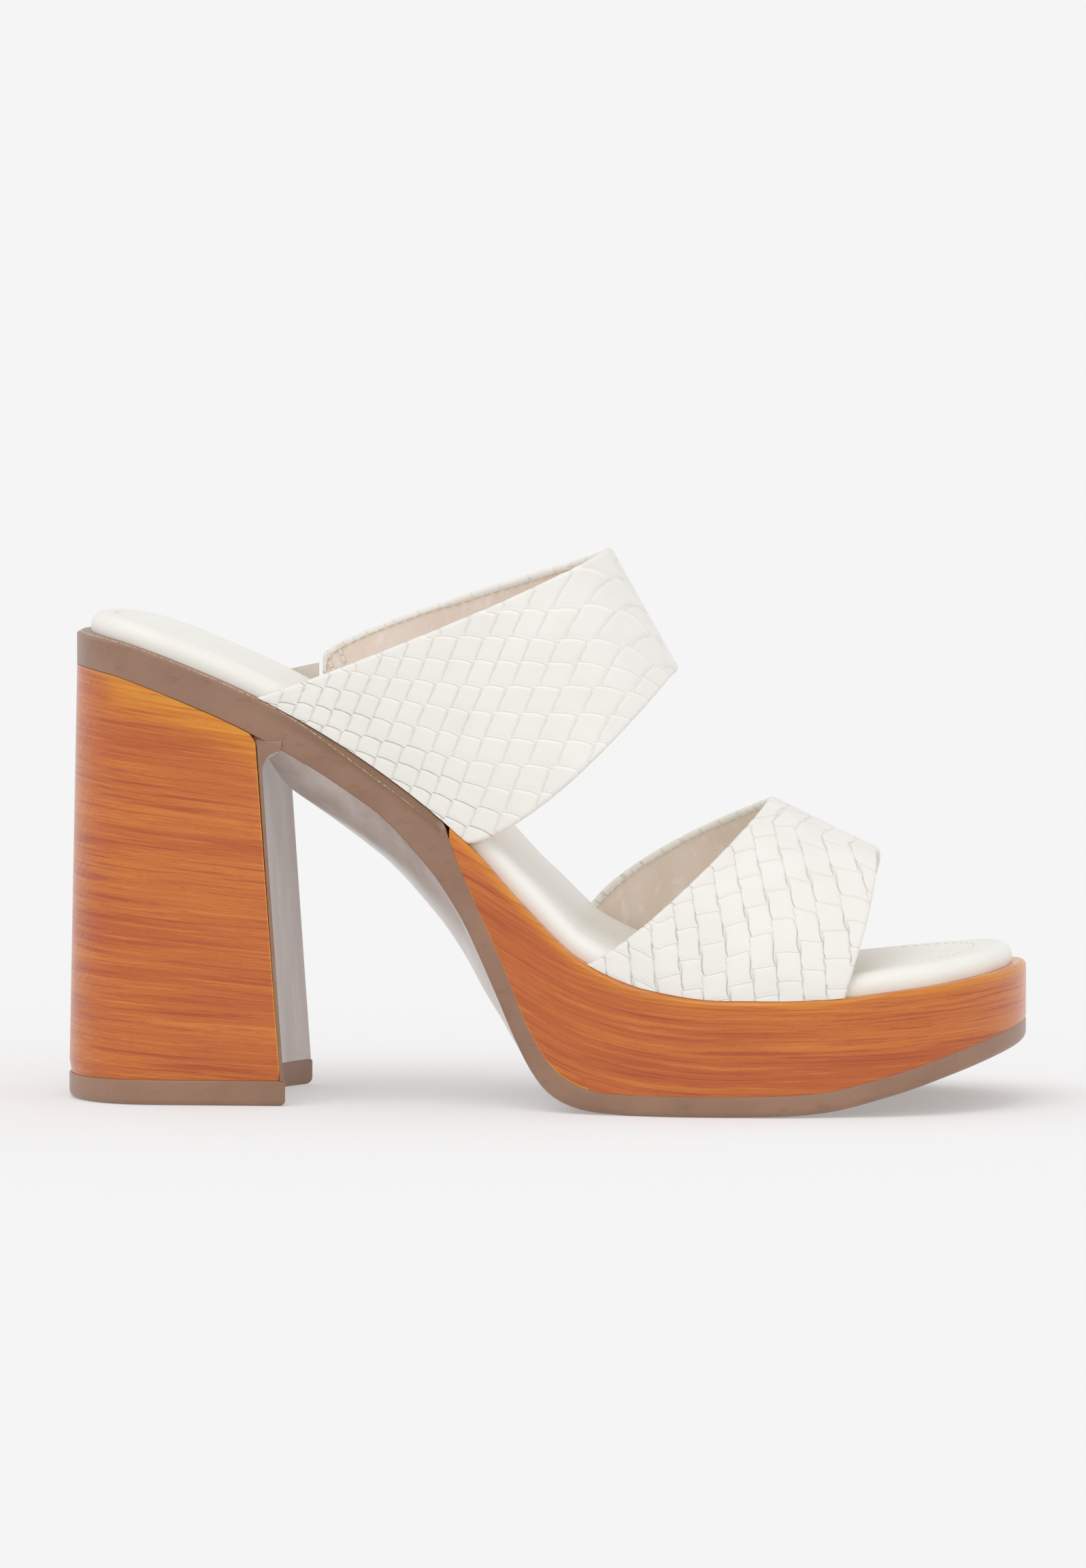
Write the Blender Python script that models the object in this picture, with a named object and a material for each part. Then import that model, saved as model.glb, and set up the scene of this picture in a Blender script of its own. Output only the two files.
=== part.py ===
"""Block heel platform sandal, right shoe, standing on its heel and forefoot.

The toe points along +X, the outer side of the foot is -Y and the floor is Z = 0.
Lengths are in metres. Tables hold shares of the named sizes above them.
"""

import math

import bmesh
import bpy
import numpy as np

MM = 0.001

# Overall sizes
LENGTH = 231.0 * MM
BALL_WIDTH = 91.0 * MM
SEAT_HEIGHT = 113.5 * MM
PLATFORM_HEIGHT = 27.6 * MM
TOE_RIM_RISE = 6.4 * MM
TOE_TREAD_RISE = 15.0 * MM

# Sole sizes
BAND = 8.3 * MM
TREAD = 5.0 * MM
BELLY = 13.0 * MM
RIM_ROUND = 1.6 * MM
TREAD_ROUND = 1.5 * MM

# Heel sizes
HEEL_WIDTH = 58.0 * MM
HEEL_RAKE = 2.2 * MM
BREAST_TOP = 48.5 * MM
BREAST_BOTTOM = 54.3 * MM
BREAST_HOLLOW = 8.0 * MM
BREAST_CORNER = 1.5 * MM
FACING = 1.3 * MM
LIFT = 6.0 * MM
LIFT_ROUND = 1.6 * MM

# Footbed and strap sizes
PAD = 5.2 * MM
PAD_ROUND = 4.0 * MM
PAD_CUP = 1.0 * MM
STRAP = 2.0 * MM
STRAP_INSET = 1.0 * MM
BACK_STRAP_RISE = 38.0 * MM
FRONT_STRAP_RISE = 36.0 * MM
STRAP_STEPS = (30, 10)
STRAP_END_STEP = 0.004
GORE = 1.2 * MM
GORE_HEIGHT = 10.5 * MM
GORE_REAR_HEIGHT = 3.0 * MM
GORE_LENGTH = 10.0 * MM
CLEARANCE = 0.3 * MM

# Spacing of the sole's sections, and how far past its point the block's tail begins
SECTION = 4.6 * MM
TAIL_START = 1.5 * MM

# Plan outline: place along the length, outer and inner half widths as shares of the ball width
OUTLINE = {
    "place": (0.10, 0.22, 0.33, 0.42, 0.50, 0.58, 0.67, 0.74, 0.82, 0.91, 1.0),
    "outer": (0.319, 0.314, 0.308, 0.343, 0.415, 0.485, 0.528, 0.529, 0.500, 0.455, 0.405),
    "inner": (0.319, 0.310, 0.288, 0.305, 0.355, 0.415, 0.457, 0.468, 0.462, 0.440, 0.410),
}
HEEL_END = 0.105
TOE_END = 0.145
TOE_TIP_ASIDE = 0.035
HEEL_END_POWER = 2.2
TOE_END_POWER = 2.25

# Rim seen from the side: height as a share of the rise from platform to seat
RIM = {
    "place": (0.0, 0.06, 0.16, 0.26, 0.36, 0.43, 0.49, 0.55, 0.62, 0.70, 1.0),
    "height": (1.0, 0.973, 0.877, 0.745, 0.569, 0.415, 0.247, 0.104, 0.028, 0.0, 0.0),
}

# Toe spring: lift of the rim and of the tread as shares of their rises at the tip
SPRING = {
    "place": (0.70, 0.76, 0.80, 0.87, 0.93, 1.0),
    "rim": (0.0, 0.0, 0.04, 0.30, 0.58, 1.0),
    "tread": (0.0, 0.02, 0.07, 0.33, 0.63, 1.0),
}

# Underside: share that is left of the height under the band, from shank to ball
UNDERSIDE = {
    "place": (0.24, 0.33, 0.39, 0.42, 0.44, 0.46, 0.475, 0.495, 0.515, 0.535, 0.56, 0.60),
    "left": (1.0, 1.0, 0.945, 0.870, 0.775, 0.64, 0.50, 0.30, 0.155, 0.075, 0.025, 0.0),
}

# Tail of the platform block: depth as a share of the room between rim and tread
TAIL = {
    "place": (0.405, 0.42, 0.44, 0.47, 0.50, 0.54, 0.57),
    "depth": (0.0, 0.49, 0.70, 0.77, 0.88, 0.97, 1.0),
}

# Convex underside of the shank: depth as a share of the belly
SHANK = {
    "place": (0.205, 0.22, 0.24, 0.30, 0.38, 0.43, 0.47, 0.50, 0.53),
    "depth": (0.0, 0.60, 0.84, 0.93, 1.0, 0.97, 0.55, 0.12, 0.0),
}

# Straps: a row for each edge. Places are shares of the length, crest is a share of the strap's
# rise, aside is the crest's shift as a share of the ball width, swell pushes the sides forward
# by a share of the length, and the lags bend the climb. The cut is the share of the rise that the
# inner end climbs straight up from the sole.
BACK_STRAP = {
    "edge": (0.0, 1.0),
    "outer": (0.208, 0.434),
    "inner": (0.252, 0.438),
    "crest_place": (0.565, 0.638),
    "crest": (0.915, 1.07),
    "aside": (0.01, 0.03),
    "swell": (0.014, 0.003),
    "outer_lag": (1.06, 1.42),
    "inner_lag": (0.75, 0.85),
    "inner_cut": (0.33, 0.0),
}
FRONT_STRAP = {
    "edge": (0.0, 1.0),
    "outer": (0.551, 0.829),
    "inner": (0.521, 0.793),
    "crest_place": (0.733, 0.845),
    "crest": (1.01, 0.885),
    "aside": (0.035, 0.02),
    "swell": (0.005, 0.009),
    "outer_lag": (1.20, 1.0),
    "inner_lag": (0.63, 1.0),
    "inner_cut": (0.0, 0.0),
}


def curve(table, place_column, value_column, place):
    """Smooth curve through a table's rows that never swings past them."""
    xs = np.array(table[place_column])
    ys = np.array(table[value_column])
    place = np.clip(place, xs[0], xs[-1])
    steps = np.diff(xs)
    slopes = np.diff(ys) / steps
    tangents = np.zeros(len(xs))
    for i in range(1, len(xs) - 1):
        before, after = slopes[i - 1], slopes[i]
        if before * after > 0:
            tangents[i] = 2.0 * before * after / (before + after)
    tangents[0] = slopes[0]
    tangents[-1] = slopes[-1]
    row = np.clip(np.searchsorted(xs, place, side="right") - 1, 0, len(xs) - 2)
    step = steps[row]
    t = (place - xs[row]) / step
    return ((1 + 2 * t) * (1 - t) ** 2 * ys[row] + t * (1 - t) ** 2 * step * tangents[row]
            + t * t * (3 - 2 * t) * ys[row + 1] + t * t * (t - 1) * step * tangents[row + 1])


def rim_height(x):
    place = x / LENGTH
    climb = curve(RIM, "place", "height", place) * (SEAT_HEIGHT - PLATFORM_HEIGHT)
    return PLATFORM_HEIGHT + climb + curve(SPRING, "place", "rim", place) * TOE_RIM_RISE


def slope_factor(height, x):
    """Length along a sloping surface for each unit along X."""
    probe = 1.0 * MM
    return np.hypot(1.0, (height(x + probe) - height(x - probe)) / (2 * probe))


def band_bottom(x):
    return rim_height(x) - BAND * slope_factor(rim_height, x)


def tread_height(x):
    place = x / LENGTH
    left = curve(UNDERSIDE, "place", "left", place)
    return band_bottom(x) * left + curve(SPRING, "place", "tread", place) * TOE_TREAD_RISE


def platform_bottom(x):
    depth = curve(TAIL, "place", "depth", x / LENGTH)
    room = rim_height(x) - tread_height(x) - TREAD
    return rim_height(x) - depth * room


def superellipse(t, power):
    """Half width, as a share, at share t of the way into a rounded end."""
    t = np.clip(t, 0.0, 1.0)
    return (1.0 - (1.0 - t) ** power) ** (1.0 / power)


def half_width(x, side):
    """Half width of the sole at x on the outer or the inner side, and the end's sideways shift."""
    place = x / LENGTH
    width = curve(OUTLINE, "place", side, place) * BALL_WIDTH
    heel = superellipse((x - HEEL_RAKE) / (HEEL_END * LENGTH), HEEL_END_POWER)
    toe = superellipse((LENGTH - x) / (TOE_END * LENGTH), TOE_END_POWER)
    tip = TOE_TIP_ASIDE * BALL_WIDTH * (1.0 if side == "inner" else -1.0)
    return tip * (1 - toe) + width * heel * toe


def end_places(count, start, end, depth):
    """Places along X from start to end, drawn together towards both rounded ends."""
    angles = np.linspace(math.radians(6), math.pi / 2, count)
    heel = start + depth[0] * (1 - np.cos(angles))
    toe = end - depth[1] * (1 - np.cos(angles[::-1]))
    return heel, toe


def sole_places(start, end, spacing):
    """Places along X between start and end, with the rounded ends drawn together."""
    heel, toe = end_places(8, HEEL_RAKE, LENGTH, (HEEL_END * LENGTH, TOE_END * LENGTH))
    middle = np.arange(heel[-1] + spacing, toe[0] - spacing / 2, spacing)
    places = np.concatenate([heel, middle, toe])
    inside = places[(places > start + spacing / 3) & (places < end - spacing / 3)]
    first = heel[0] if start <= HEEL_RAKE else start
    last = toe[-1] if end >= LENGTH else end
    return np.concatenate([[first], inside[inside > first], [last]])


def outline_grid(places, inset, columns):
    """Plan grid, a row for each place, from the outer edge to the inner one, moved in by inset."""
    outer = np.stack([places, -half_width(places, "outer")], axis=1)
    inner = np.stack([places, half_width(places, "inner")], axis=1)
    loop = np.concatenate([outer, inner[::-1]])
    along = np.roll(loop, -1, axis=0) - np.roll(loop, 1, axis=0)
    along /= np.linalg.norm(along, axis=1)[:, None]
    inward = np.stack([-along[:, 1], along[:, 0]], axis=1)
    cut_rear = places[0] > HEEL_RAKE + HEEL_END * LENGTH
    cut_front = places[-1] < LENGTH - TOE_END * LENGTH
    count = len(places)
    if cut_rear:
        inward[0] = (0.0, 1.0)
        inward[-1] = (0.0, -1.0)
    if cut_front:
        inward[count - 1] = (0.0, 1.0)
        inward[count] = (0.0, -1.0)
    depth = inset * np.ones(count)
    moved = loop + np.concatenate([depth, depth[::-1]])[:, None] * inward
    outer, inner = moved[:count], moved[count:][::-1]
    across = np.linspace(0.0, 1.0, columns + 1)[None, :, None]
    return outer[:, None, :] * (1 - across) + inner[:, None, :] * across


def raise_grid(plan, height):
    """Plan grid lifted to a height given as an array or as a function of X."""
    z = height(plan[..., 0]) if callable(height) else height * np.ones(plan.shape[:2])
    return np.concatenate([plan, z[..., None]], axis=2)


def grid_loop(rows, columns):
    """Row and column numbers around a grid's edge, the outer side first."""
    near = [(i, 0) for i in range(rows)]
    front = [(rows - 1, j) for j in range(1, columns - 1)]
    far = [(i, columns - 1) for i in range(rows - 1, -1, -1)]
    back = [(0, j) for j in range(columns - 2, 0, -1)]
    return near + front + far + back


def stack(name, grids):
    """Closed solid between the first grid and the last, through the edges of those between."""
    mesh = bpy.data.meshes.new(name)
    work = bmesh.new()
    rows, columns = grids[0].shape[:2]
    loop = grid_loop(rows, columns)

    def cap(grid, upward):
        corner = [[work.verts.new(grid[i, j]) for j in range(columns)] for i in range(rows)]
        for i in range(rows - 1):
            for j in range(columns - 1):
                face = [corner[i][j], corner[i + 1][j], corner[i + 1][j + 1], corner[i][j + 1]]
                work.faces.new(face if upward else face[::-1])
        return [corner[i][j] for i, j in loop]

    lower = cap(grids[0], upward=False)
    rings = [lower]
    for grid in grids[1:-1]:
        rings.append([work.verts.new(grid[i, j]) for i, j in loop])
    rings.append(cap(grids[-1], upward=True))
    for below, above in zip(rings, rings[1:]):
        for k in range(len(loop)):
            after = (k + 1) % len(loop)
            work.faces.new([below[k], below[after], above[after], above[k]])
    bmesh.ops.recalc_face_normals(work, faces=work.faces)
    work.to_mesh(mesh)
    work.free()
    mesh.shade_smooth()
    mesh.set_sharp_from_angle(angle=math.radians(40))
    item = bpy.data.objects.new(name, mesh)
    bpy.context.collection.objects.link(item)
    return item


def material(name, colour, roughness):
    made = bpy.data.materials.new(name)
    made.use_nodes = True
    shader = made.node_tree.nodes["Principled BSDF"]
    shader.inputs["Base Color"].default_value = (*colour, 1.0)
    shader.inputs["Roughness"].default_value = roughness
    shader.inputs["Metallic"].default_value = 0.0
    return made


def boolean(item, operation, other):
    modifier = item.modifiers.new(operation.lower(), "BOOLEAN")
    modifier.operation = operation
    modifier.solver = "EXACT"
    modifier.object = other
    other.parent = item
    other.hide_render = True
    other.display_type = "WIRE"


def breast(x_share, height_share):
    """X along the heel block from its back to its breast, at a share of the heel's height."""
    back = HEEL_RAKE * height_share
    front = BREAST_BOTTOM + (BREAST_TOP - BREAST_BOTTOM) * height_share
    return back + (front - back) * x_share


def heel_plan(height_share, grow, front_extra, columns):
    """Plan grid of the heel at a share of its height, hollowed at the breast."""
    angles = np.linspace(math.radians(10), math.pi / 2, 7)
    round_share = 1 - np.cos(angles)
    back = breast(0.0, height_share) - grow
    front = breast(1.0, height_share) + front_extra
    end = HEEL_END * LENGTH + grow
    flat = np.linspace(back + end, front, 7)[1:]
    places = np.concatenate([back + end * round_share, flat])
    side = HEEL_WIDTH / 2 * superellipse((places - back) / end, HEEL_END_POWER) + grow
    across = np.linspace(-1.0, 1.0, columns + 1)
    hollow = BREAST_HOLLOW * (1 - np.abs(across) ** 2.4)
    forward = np.clip((places - back - end) / (front - back - end), 0.0, 1.0)
    x = places[:, None] - hollow[None, :] * forward[:, None]
    y = side[:, None] * across[None, :]
    return np.stack([x, y], axis=2)


def heel_top(x, grow):
    """Top of the heel block, under the band, with its front corner rounded down."""
    corner = BREAST_CORNER + grow
    past = np.clip(x - (BREAST_TOP + grow - corner), 0.0, corner)
    drop = corner - np.sqrt(corner ** 2 - past ** 2)
    return band_bottom(x) - CLEARANCE + grow - drop


def heel_block(name, grow, columns=12):
    """Heel body between lift and band; grow makes the room that it sits in."""
    bottom = LIFT + CLEARANCE - grow
    levels = (0.0, 0.25, 0.5, 0.75, 1.0)
    grids = []
    for level in levels:
        plan = heel_plan(level, grow, grow, columns)
        top = heel_top(plan[..., 0], grow)
        z = bottom + (top - bottom) * level
        grids.append(np.concatenate([plan, z[..., None]], axis=2))
    return stack(name, grids)


def breast_facing(columns=12):
    """Curved wall down the breast, thick enough behind for the heel's room to be cut from it."""
    behind = BREAST_CORNER + FACING
    levels = np.linspace(0.0, 1.0, 9)
    front_rows = []
    back_rows = []
    bottom = LIFT + CLEARANCE
    for level in levels:
        plan = heel_plan(level, 0.0, FACING, columns)[-1]
        top = band_bottom(plan[:, 0]) + BAND / 2
        z = bottom + (top - bottom) * level
        front_rows.append(np.column_stack([plan, z]))
        back_rows.append(np.column_stack([plan[:, 0] - behind, plan[:, 1], z]))
    return stack("breast_facing", [np.array(back_rows), np.array(front_rows)])


def outsole():
    """Moulded unit: seat band, shank with its convex underside, tread and breast facing."""
    tail = TAIL["place"][0] * LENGTH
    places = sole_places(0.0, LENGTH, SECTION)
    columns = 12

    def top(x):
        return np.where(x < tail, rim_height(x), platform_bottom(x) - CLEARANCE)

    def bottom(x):
        return tread_height(x)

    def belly(plan):
        across = np.linspace(-1.0, 1.0, columns + 1)[None, :]
        depth = curve(SHANK, "place", "depth", plan[..., 0] / LENGTH) * BELLY
        return bottom(plan[..., 0]) - depth * (1 - np.abs(across) ** 2.6)

    def rounding(x):
        """Edge rounding below: sharp along the band and shank, full from the ball on."""
        return TREAD_ROUND * np.clip((x / LENGTH - 0.42) / 0.08, 0.1, 1.0)

    under = outline_grid(places, rounding(places), columns)
    side = outline_grid(places, 0.0, columns)
    rim = outline_grid(places, RIM_ROUND, columns)
    slab = stack("outsole", [
        raise_grid(under, belly(under)),
        raise_grid(side, lambda x: bottom(x) + rounding(x)),
        raise_grid(side, lambda x: top(x) - RIM_ROUND),
        raise_grid(rim, top),
    ])
    boolean(slab, "UNION", breast_facing())
    boolean(slab, "DIFFERENCE", heel_block("heel_room", CLEARANCE))
    return slab


def platform(columns=6):
    """Forefoot block, from its pointed tail on the shank to the toe."""
    tail = TAIL["place"][0] * LENGTH
    places = sole_places(tail + TAIL_START, LENGTH, SECTION)
    side = outline_grid(places, 0.0, columns)
    rim = outline_grid(places, RIM_ROUND, columns)
    lower = raise_grid(side, platform_bottom)
    return stack("platform", [
        lower,
        raise_grid(side, lambda x: rim_height(x) - RIM_ROUND * 0.8),
        raise_grid(rim, rim_height),
    ])


def top_lift(columns=12):
    def level(inset, z):
        plan = heel_plan(0.0, -inset, FACING - inset, columns)
        return raise_grid(plan, z)

    return stack("top_lift", [
        level(LIFT_ROUND, 0.0),
        level(LIFT_ROUND * 0.3, LIFT_ROUND * 0.35),
        level(0.0, LIFT_ROUND),
        level(0.0, LIFT),
    ])


def insole(columns=10):
    """Padded footbed with a rounded edge and a shallow heel cup."""
    inset = STRAP_INSET + STRAP + CLEARANCE * 1.3
    places = sole_places(0.0, LENGTH, SECTION)

    def level(extra, height):
        plan = outline_grid(places, inset + extra, columns)
        return raise_grid(plan, lambda x: rim_height(x) + height * slope_factor(rim_height, x))

    top = level(PAD_ROUND, PAD)
    across = np.linspace(-1.0, 1.0, columns + 1)[None, :]
    cup = np.clip(1 - top[..., 0] / (0.36 * LENGTH), 0.0, 1.0) ** 0.5
    top[..., 2] -= PAD_CUP * cup * (1 - np.abs(across) ** 2)
    return stack("insole", [
        level(0.0, CLEARANCE),
        level(0.0, PAD * 0.30),
        level(PAD_ROUND * 0.12, PAD * 0.62),
        level(PAD_ROUND * 0.42, PAD * 0.88),
        top,
    ])


def strap_point(table, rise, across, v):
    """Point of a strap's arch. across runs 0..1 from the outer side to the inner one."""
    def at(column):
        return curve(table, "edge", column, v)

    outer_half = across <= 0.5
    side = "outer" if outer_half else "inner"
    sign = -1.0 if outer_half else 1.0
    foot_x = at(side) * LENGTH
    foot_z = rim_height(foot_x) + CLEARANCE
    crest_x = at("crest_place") * LENGTH
    crest_y = at("aside") * BALL_WIDTH
    ends = rim_height(np.array(table["outer"]) * LENGTH)
    crest_z = ends[0] + (ends[1] - ends[0]) * v + CLEARANCE + at("crest") * rise
    angle = math.pi / 2 * (1 - abs(2 * across - 1))
    go, turn = math.sin(angle), math.cos(angle)
    cut = 0.0 if outer_half or across == 1.0 else at("inner_cut")
    climb = cut + (1 - cut) * go ** at(side + "_lag")
    x = foot_x + (crest_x - foot_x) * go + 2 * at("swell") * LENGTH * go * turn
    side_y = sign * (half_width(x, side) - STRAP_INSET)
    return (x, crest_y + (side_y - crest_y) * turn, foot_z + (crest_z - foot_z) * climb)


def strap_grid(table, rise):
    """Grid of a strap's face, a row for each step across the foot."""
    rows = np.linspace(0.0, 1.0, STRAP_STEPS[0] + 1)
    rows = np.insert(rows, -1, 1.0 - STRAP_END_STEP)
    edges = np.linspace(0.0, 1.0, STRAP_STEPS[1] + 1)
    return np.array([[strap_point(table, rise, a, v) for v in edges] for a in rows])


def strap_wall(name, table, rise):
    """Arched wall of the strap, its two feet standing on the sole's rim."""
    outside = strap_grid(table, rise)
    along = np.gradient(outside, axis=0)
    wide = np.gradient(outside, axis=1)
    normal = np.cross(wide, along)
    normal /= np.linalg.norm(normal, axis=2)[..., None]
    inside = outside - STRAP * normal
    for row, sign in ((0, 1.0), (-1, -1.0)):
        inside[row] = outside[row]
        inside[row, :, 1] += sign * STRAP
        inside[row, :, 2] = rim_height(inside[row, :, 0]) + CLEARANCE
    return stack(name, [inside, outside])


def gore():
    """Short elastic behind the back strap's inner end, from the strap's cut edge down to the rim."""
    foot_x = BACK_STRAP["inner"][0] * LENGTH - 2 * CLEARANCE
    places = np.linspace(foot_x - GORE_LENGTH, foot_x, 5)
    tops = rim_height(places) + np.linspace(GORE_REAR_HEIGHT, GORE_HEIGHT, len(places))
    levels = np.linspace(0.0, 1.0, 5)
    faces = []
    for depth in (GORE, 0.0):
        rows = []
        for x, top in zip(places, tops):
            low = rim_height(x) + CLEARANCE
            y = half_width(x, "inner") - STRAP_INSET - depth
            rows.append(np.column_stack([x + 0 * levels, y + 0 * levels, low + (top - low) * levels]))
        faces.append(np.array(rows))
    return stack("elastic_gore", faces)


def build():
    for item in list(bpy.data.objects):
        bpy.data.objects.remove(item, do_unlink=True)

    brown = material("brown_unit", (0.31, 0.17, 0.105), 0.62)
    wood = material("wood_look", (0.62, 0.22, 0.045), 0.32)
    cream = material("cream_strap", (0.83, 0.80, 0.74), 0.55)
    footbed = material("footbed", (0.80, 0.78, 0.71), 0.5)
    ribbed = material("elastic", (0.80, 0.72, 0.62), 0.8)

    pieces = {
        "outsole": (outsole(), brown),
        "platform": (platform(), wood),
        "heel_block": (heel_block("heel_block", 0.0), wood),
        "top_lift": (top_lift(), brown),
        "insole": (insole(), footbed),
        "strap_back": (strap_wall("strap_back", BACK_STRAP, BACK_STRAP_RISE), cream),
        "strap_front": (strap_wall("strap_front", FRONT_STRAP, FRONT_STRAP_RISE), cream),
        "elastic_gore": (gore(), ribbed),
    }
    corners = np.array([v.co for item, _ in pieces.values() for v in item.data.vertices])
    centre = (corners.min(axis=0) + corners.max(axis=0)) / 2
    middle = bpy.data.objects.new("shoe", None)
    bpy.context.collection.objects.link(middle)
    middle.location = (-centre[0], -centre[1], 0.0)
    for item, finish in pieces.values():
        item.data.materials.append(finish)
        item.parent = middle


build()
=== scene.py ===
"""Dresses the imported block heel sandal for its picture: fine surfaces, finishes, floor, light, camera.

The toe points along +X, the outer side of the foot is -Y and the floor is Z = 0. Lengths are in
metres. The sizes and tables below are the model's own, drawn here at a finer spacing.
"""

import math

import bpy
import numpy as np
from mathutils import Matrix, Vector


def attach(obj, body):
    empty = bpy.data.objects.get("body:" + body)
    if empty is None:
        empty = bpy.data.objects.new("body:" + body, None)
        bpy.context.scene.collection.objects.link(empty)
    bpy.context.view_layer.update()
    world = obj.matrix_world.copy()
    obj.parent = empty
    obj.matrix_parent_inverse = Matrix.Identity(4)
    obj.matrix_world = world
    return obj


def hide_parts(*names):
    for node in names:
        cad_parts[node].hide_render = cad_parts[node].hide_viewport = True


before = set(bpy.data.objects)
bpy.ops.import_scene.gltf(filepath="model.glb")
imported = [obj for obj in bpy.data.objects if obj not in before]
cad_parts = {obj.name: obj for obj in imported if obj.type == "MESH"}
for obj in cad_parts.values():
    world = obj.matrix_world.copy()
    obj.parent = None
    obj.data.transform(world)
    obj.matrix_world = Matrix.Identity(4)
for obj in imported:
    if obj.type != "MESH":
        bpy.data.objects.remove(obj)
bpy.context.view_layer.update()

MM = 0.001

# Middle of the sole in the model's own plan, which the frame puts over its origin
CENTRE = np.array([115.5925, -2.7831, 0.0]) * MM

# Sizes of the shoe
LENGTH = 231.0 * MM
BALL_WIDTH = 91.0 * MM
SEAT_HEIGHT = 113.5 * MM
PLATFORM_HEIGHT = 27.6 * MM
TOE_RIM_RISE = 6.4 * MM
TOE_TREAD_RISE = 15.0 * MM
BAND = 8.3 * MM
TREAD = 5.0 * MM
BELLY = 13.0 * MM
RIM_ROUND = 1.6 * MM
TREAD_ROUND = 1.5 * MM
HEEL_WIDTH = 58.0 * MM
HEEL_RAKE = 2.2 * MM
BREAST_TOP = 48.5 * MM
BREAST_BOTTOM = 54.3 * MM
BREAST_HOLLOW = 8.0 * MM
LIFT = 6.0 * MM
LIFT_ROUND = 1.6 * MM
PAD = 5.2 * MM
PAD_ROUND = 4.0 * MM
PAD_CUP = 1.0 * MM
STRAP = 2.0 * MM
STRAP_INSET = 1.0 * MM
BACK_STRAP_RISE = 38.0 * MM
FRONT_STRAP_RISE = 36.0 * MM
GORE = 1.2 * MM
GORE_HEIGHT = 10.5 * MM
GORE_REAR_HEIGHT = 3.0 * MM
GORE_LENGTH = 10.0 * MM
CLEARANCE = 0.3 * MM
VISIBLE_GAP = 0.03 * MM
END_PLACES = 26
LEAST_CUT = 0.02

OUTLINE = {
    "place": (0.10, 0.22, 0.33, 0.42, 0.50, 0.58, 0.67, 0.74, 0.82, 0.91, 1.0),
    "outer": (0.319, 0.314, 0.308, 0.343, 0.415, 0.485, 0.528, 0.529, 0.500, 0.455, 0.405),
    "inner": (0.319, 0.310, 0.288, 0.305, 0.355, 0.415, 0.457, 0.468, 0.462, 0.440, 0.410),
}
HEEL_END = 0.105
TOE_END = 0.145
TOE_TIP_ASIDE = 0.035
HEEL_END_POWER = 2.2
TOE_END_POWER = 2.25
RIM = {
    "place": (0.0, 0.06, 0.16, 0.26, 0.36, 0.43, 0.49, 0.55, 0.62, 0.70, 1.0),
    "height": (1.0, 0.973, 0.877, 0.745, 0.569, 0.415, 0.247, 0.104, 0.028, 0.0, 0.0),
}
SPRING = {
    "place": (0.70, 0.76, 0.80, 0.87, 0.93, 1.0),
    "rim": (0.0, 0.0, 0.04, 0.30, 0.58, 1.0),
    "tread": (0.0, 0.02, 0.07, 0.33, 0.63, 1.0),
}
UNDERSIDE = {
    "place": (0.24, 0.33, 0.39, 0.42, 0.44, 0.46, 0.475, 0.495, 0.515, 0.535, 0.56, 0.60),
    "left": (1.0, 1.0, 0.945, 0.870, 0.775, 0.64, 0.50, 0.30, 0.155, 0.075, 0.025, 0.0),
}
TAIL = {
    "place": (0.405, 0.42, 0.44, 0.47, 0.50, 0.54, 0.57),
    "depth": (0.0, 0.49, 0.70, 0.77, 0.88, 0.97, 1.0),
}
SHANK = {
    "place": (0.205, 0.22, 0.24, 0.30, 0.38, 0.43, 0.47, 0.50, 0.53),
    "depth": (0.0, 0.60, 0.84, 0.93, 1.0, 0.97, 0.55, 0.12, 0.0),
}
BACK_STRAP = {
    "edge": (0.0, 1.0),
    "outer": (0.208, 0.434),
    "inner": (0.252, 0.438),
    "crest_place": (0.565, 0.638),
    "crest": (0.915, 1.07),
    "aside": (0.01, 0.03),
    "swell": (0.014, 0.003),
    "outer_lag": (1.06, 1.42),
    "inner_lag": (0.75, 0.85),
    "inner_cut": (0.33, 0.0),
}
FRONT_STRAP = {
    "edge": (0.0, 1.0),
    "outer": (0.551, 0.829),
    "inner": (0.521, 0.793),
    "crest_place": (0.733, 0.845),
    "crest": (1.01, 0.885),
    "aside": (0.035, 0.02),
    "swell": (0.005, 0.009),
    "outer_lag": (1.20, 1.0),
    "inner_lag": (0.63, 1.0),
    "inner_cut": (0.0, 0.0),
}

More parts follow.
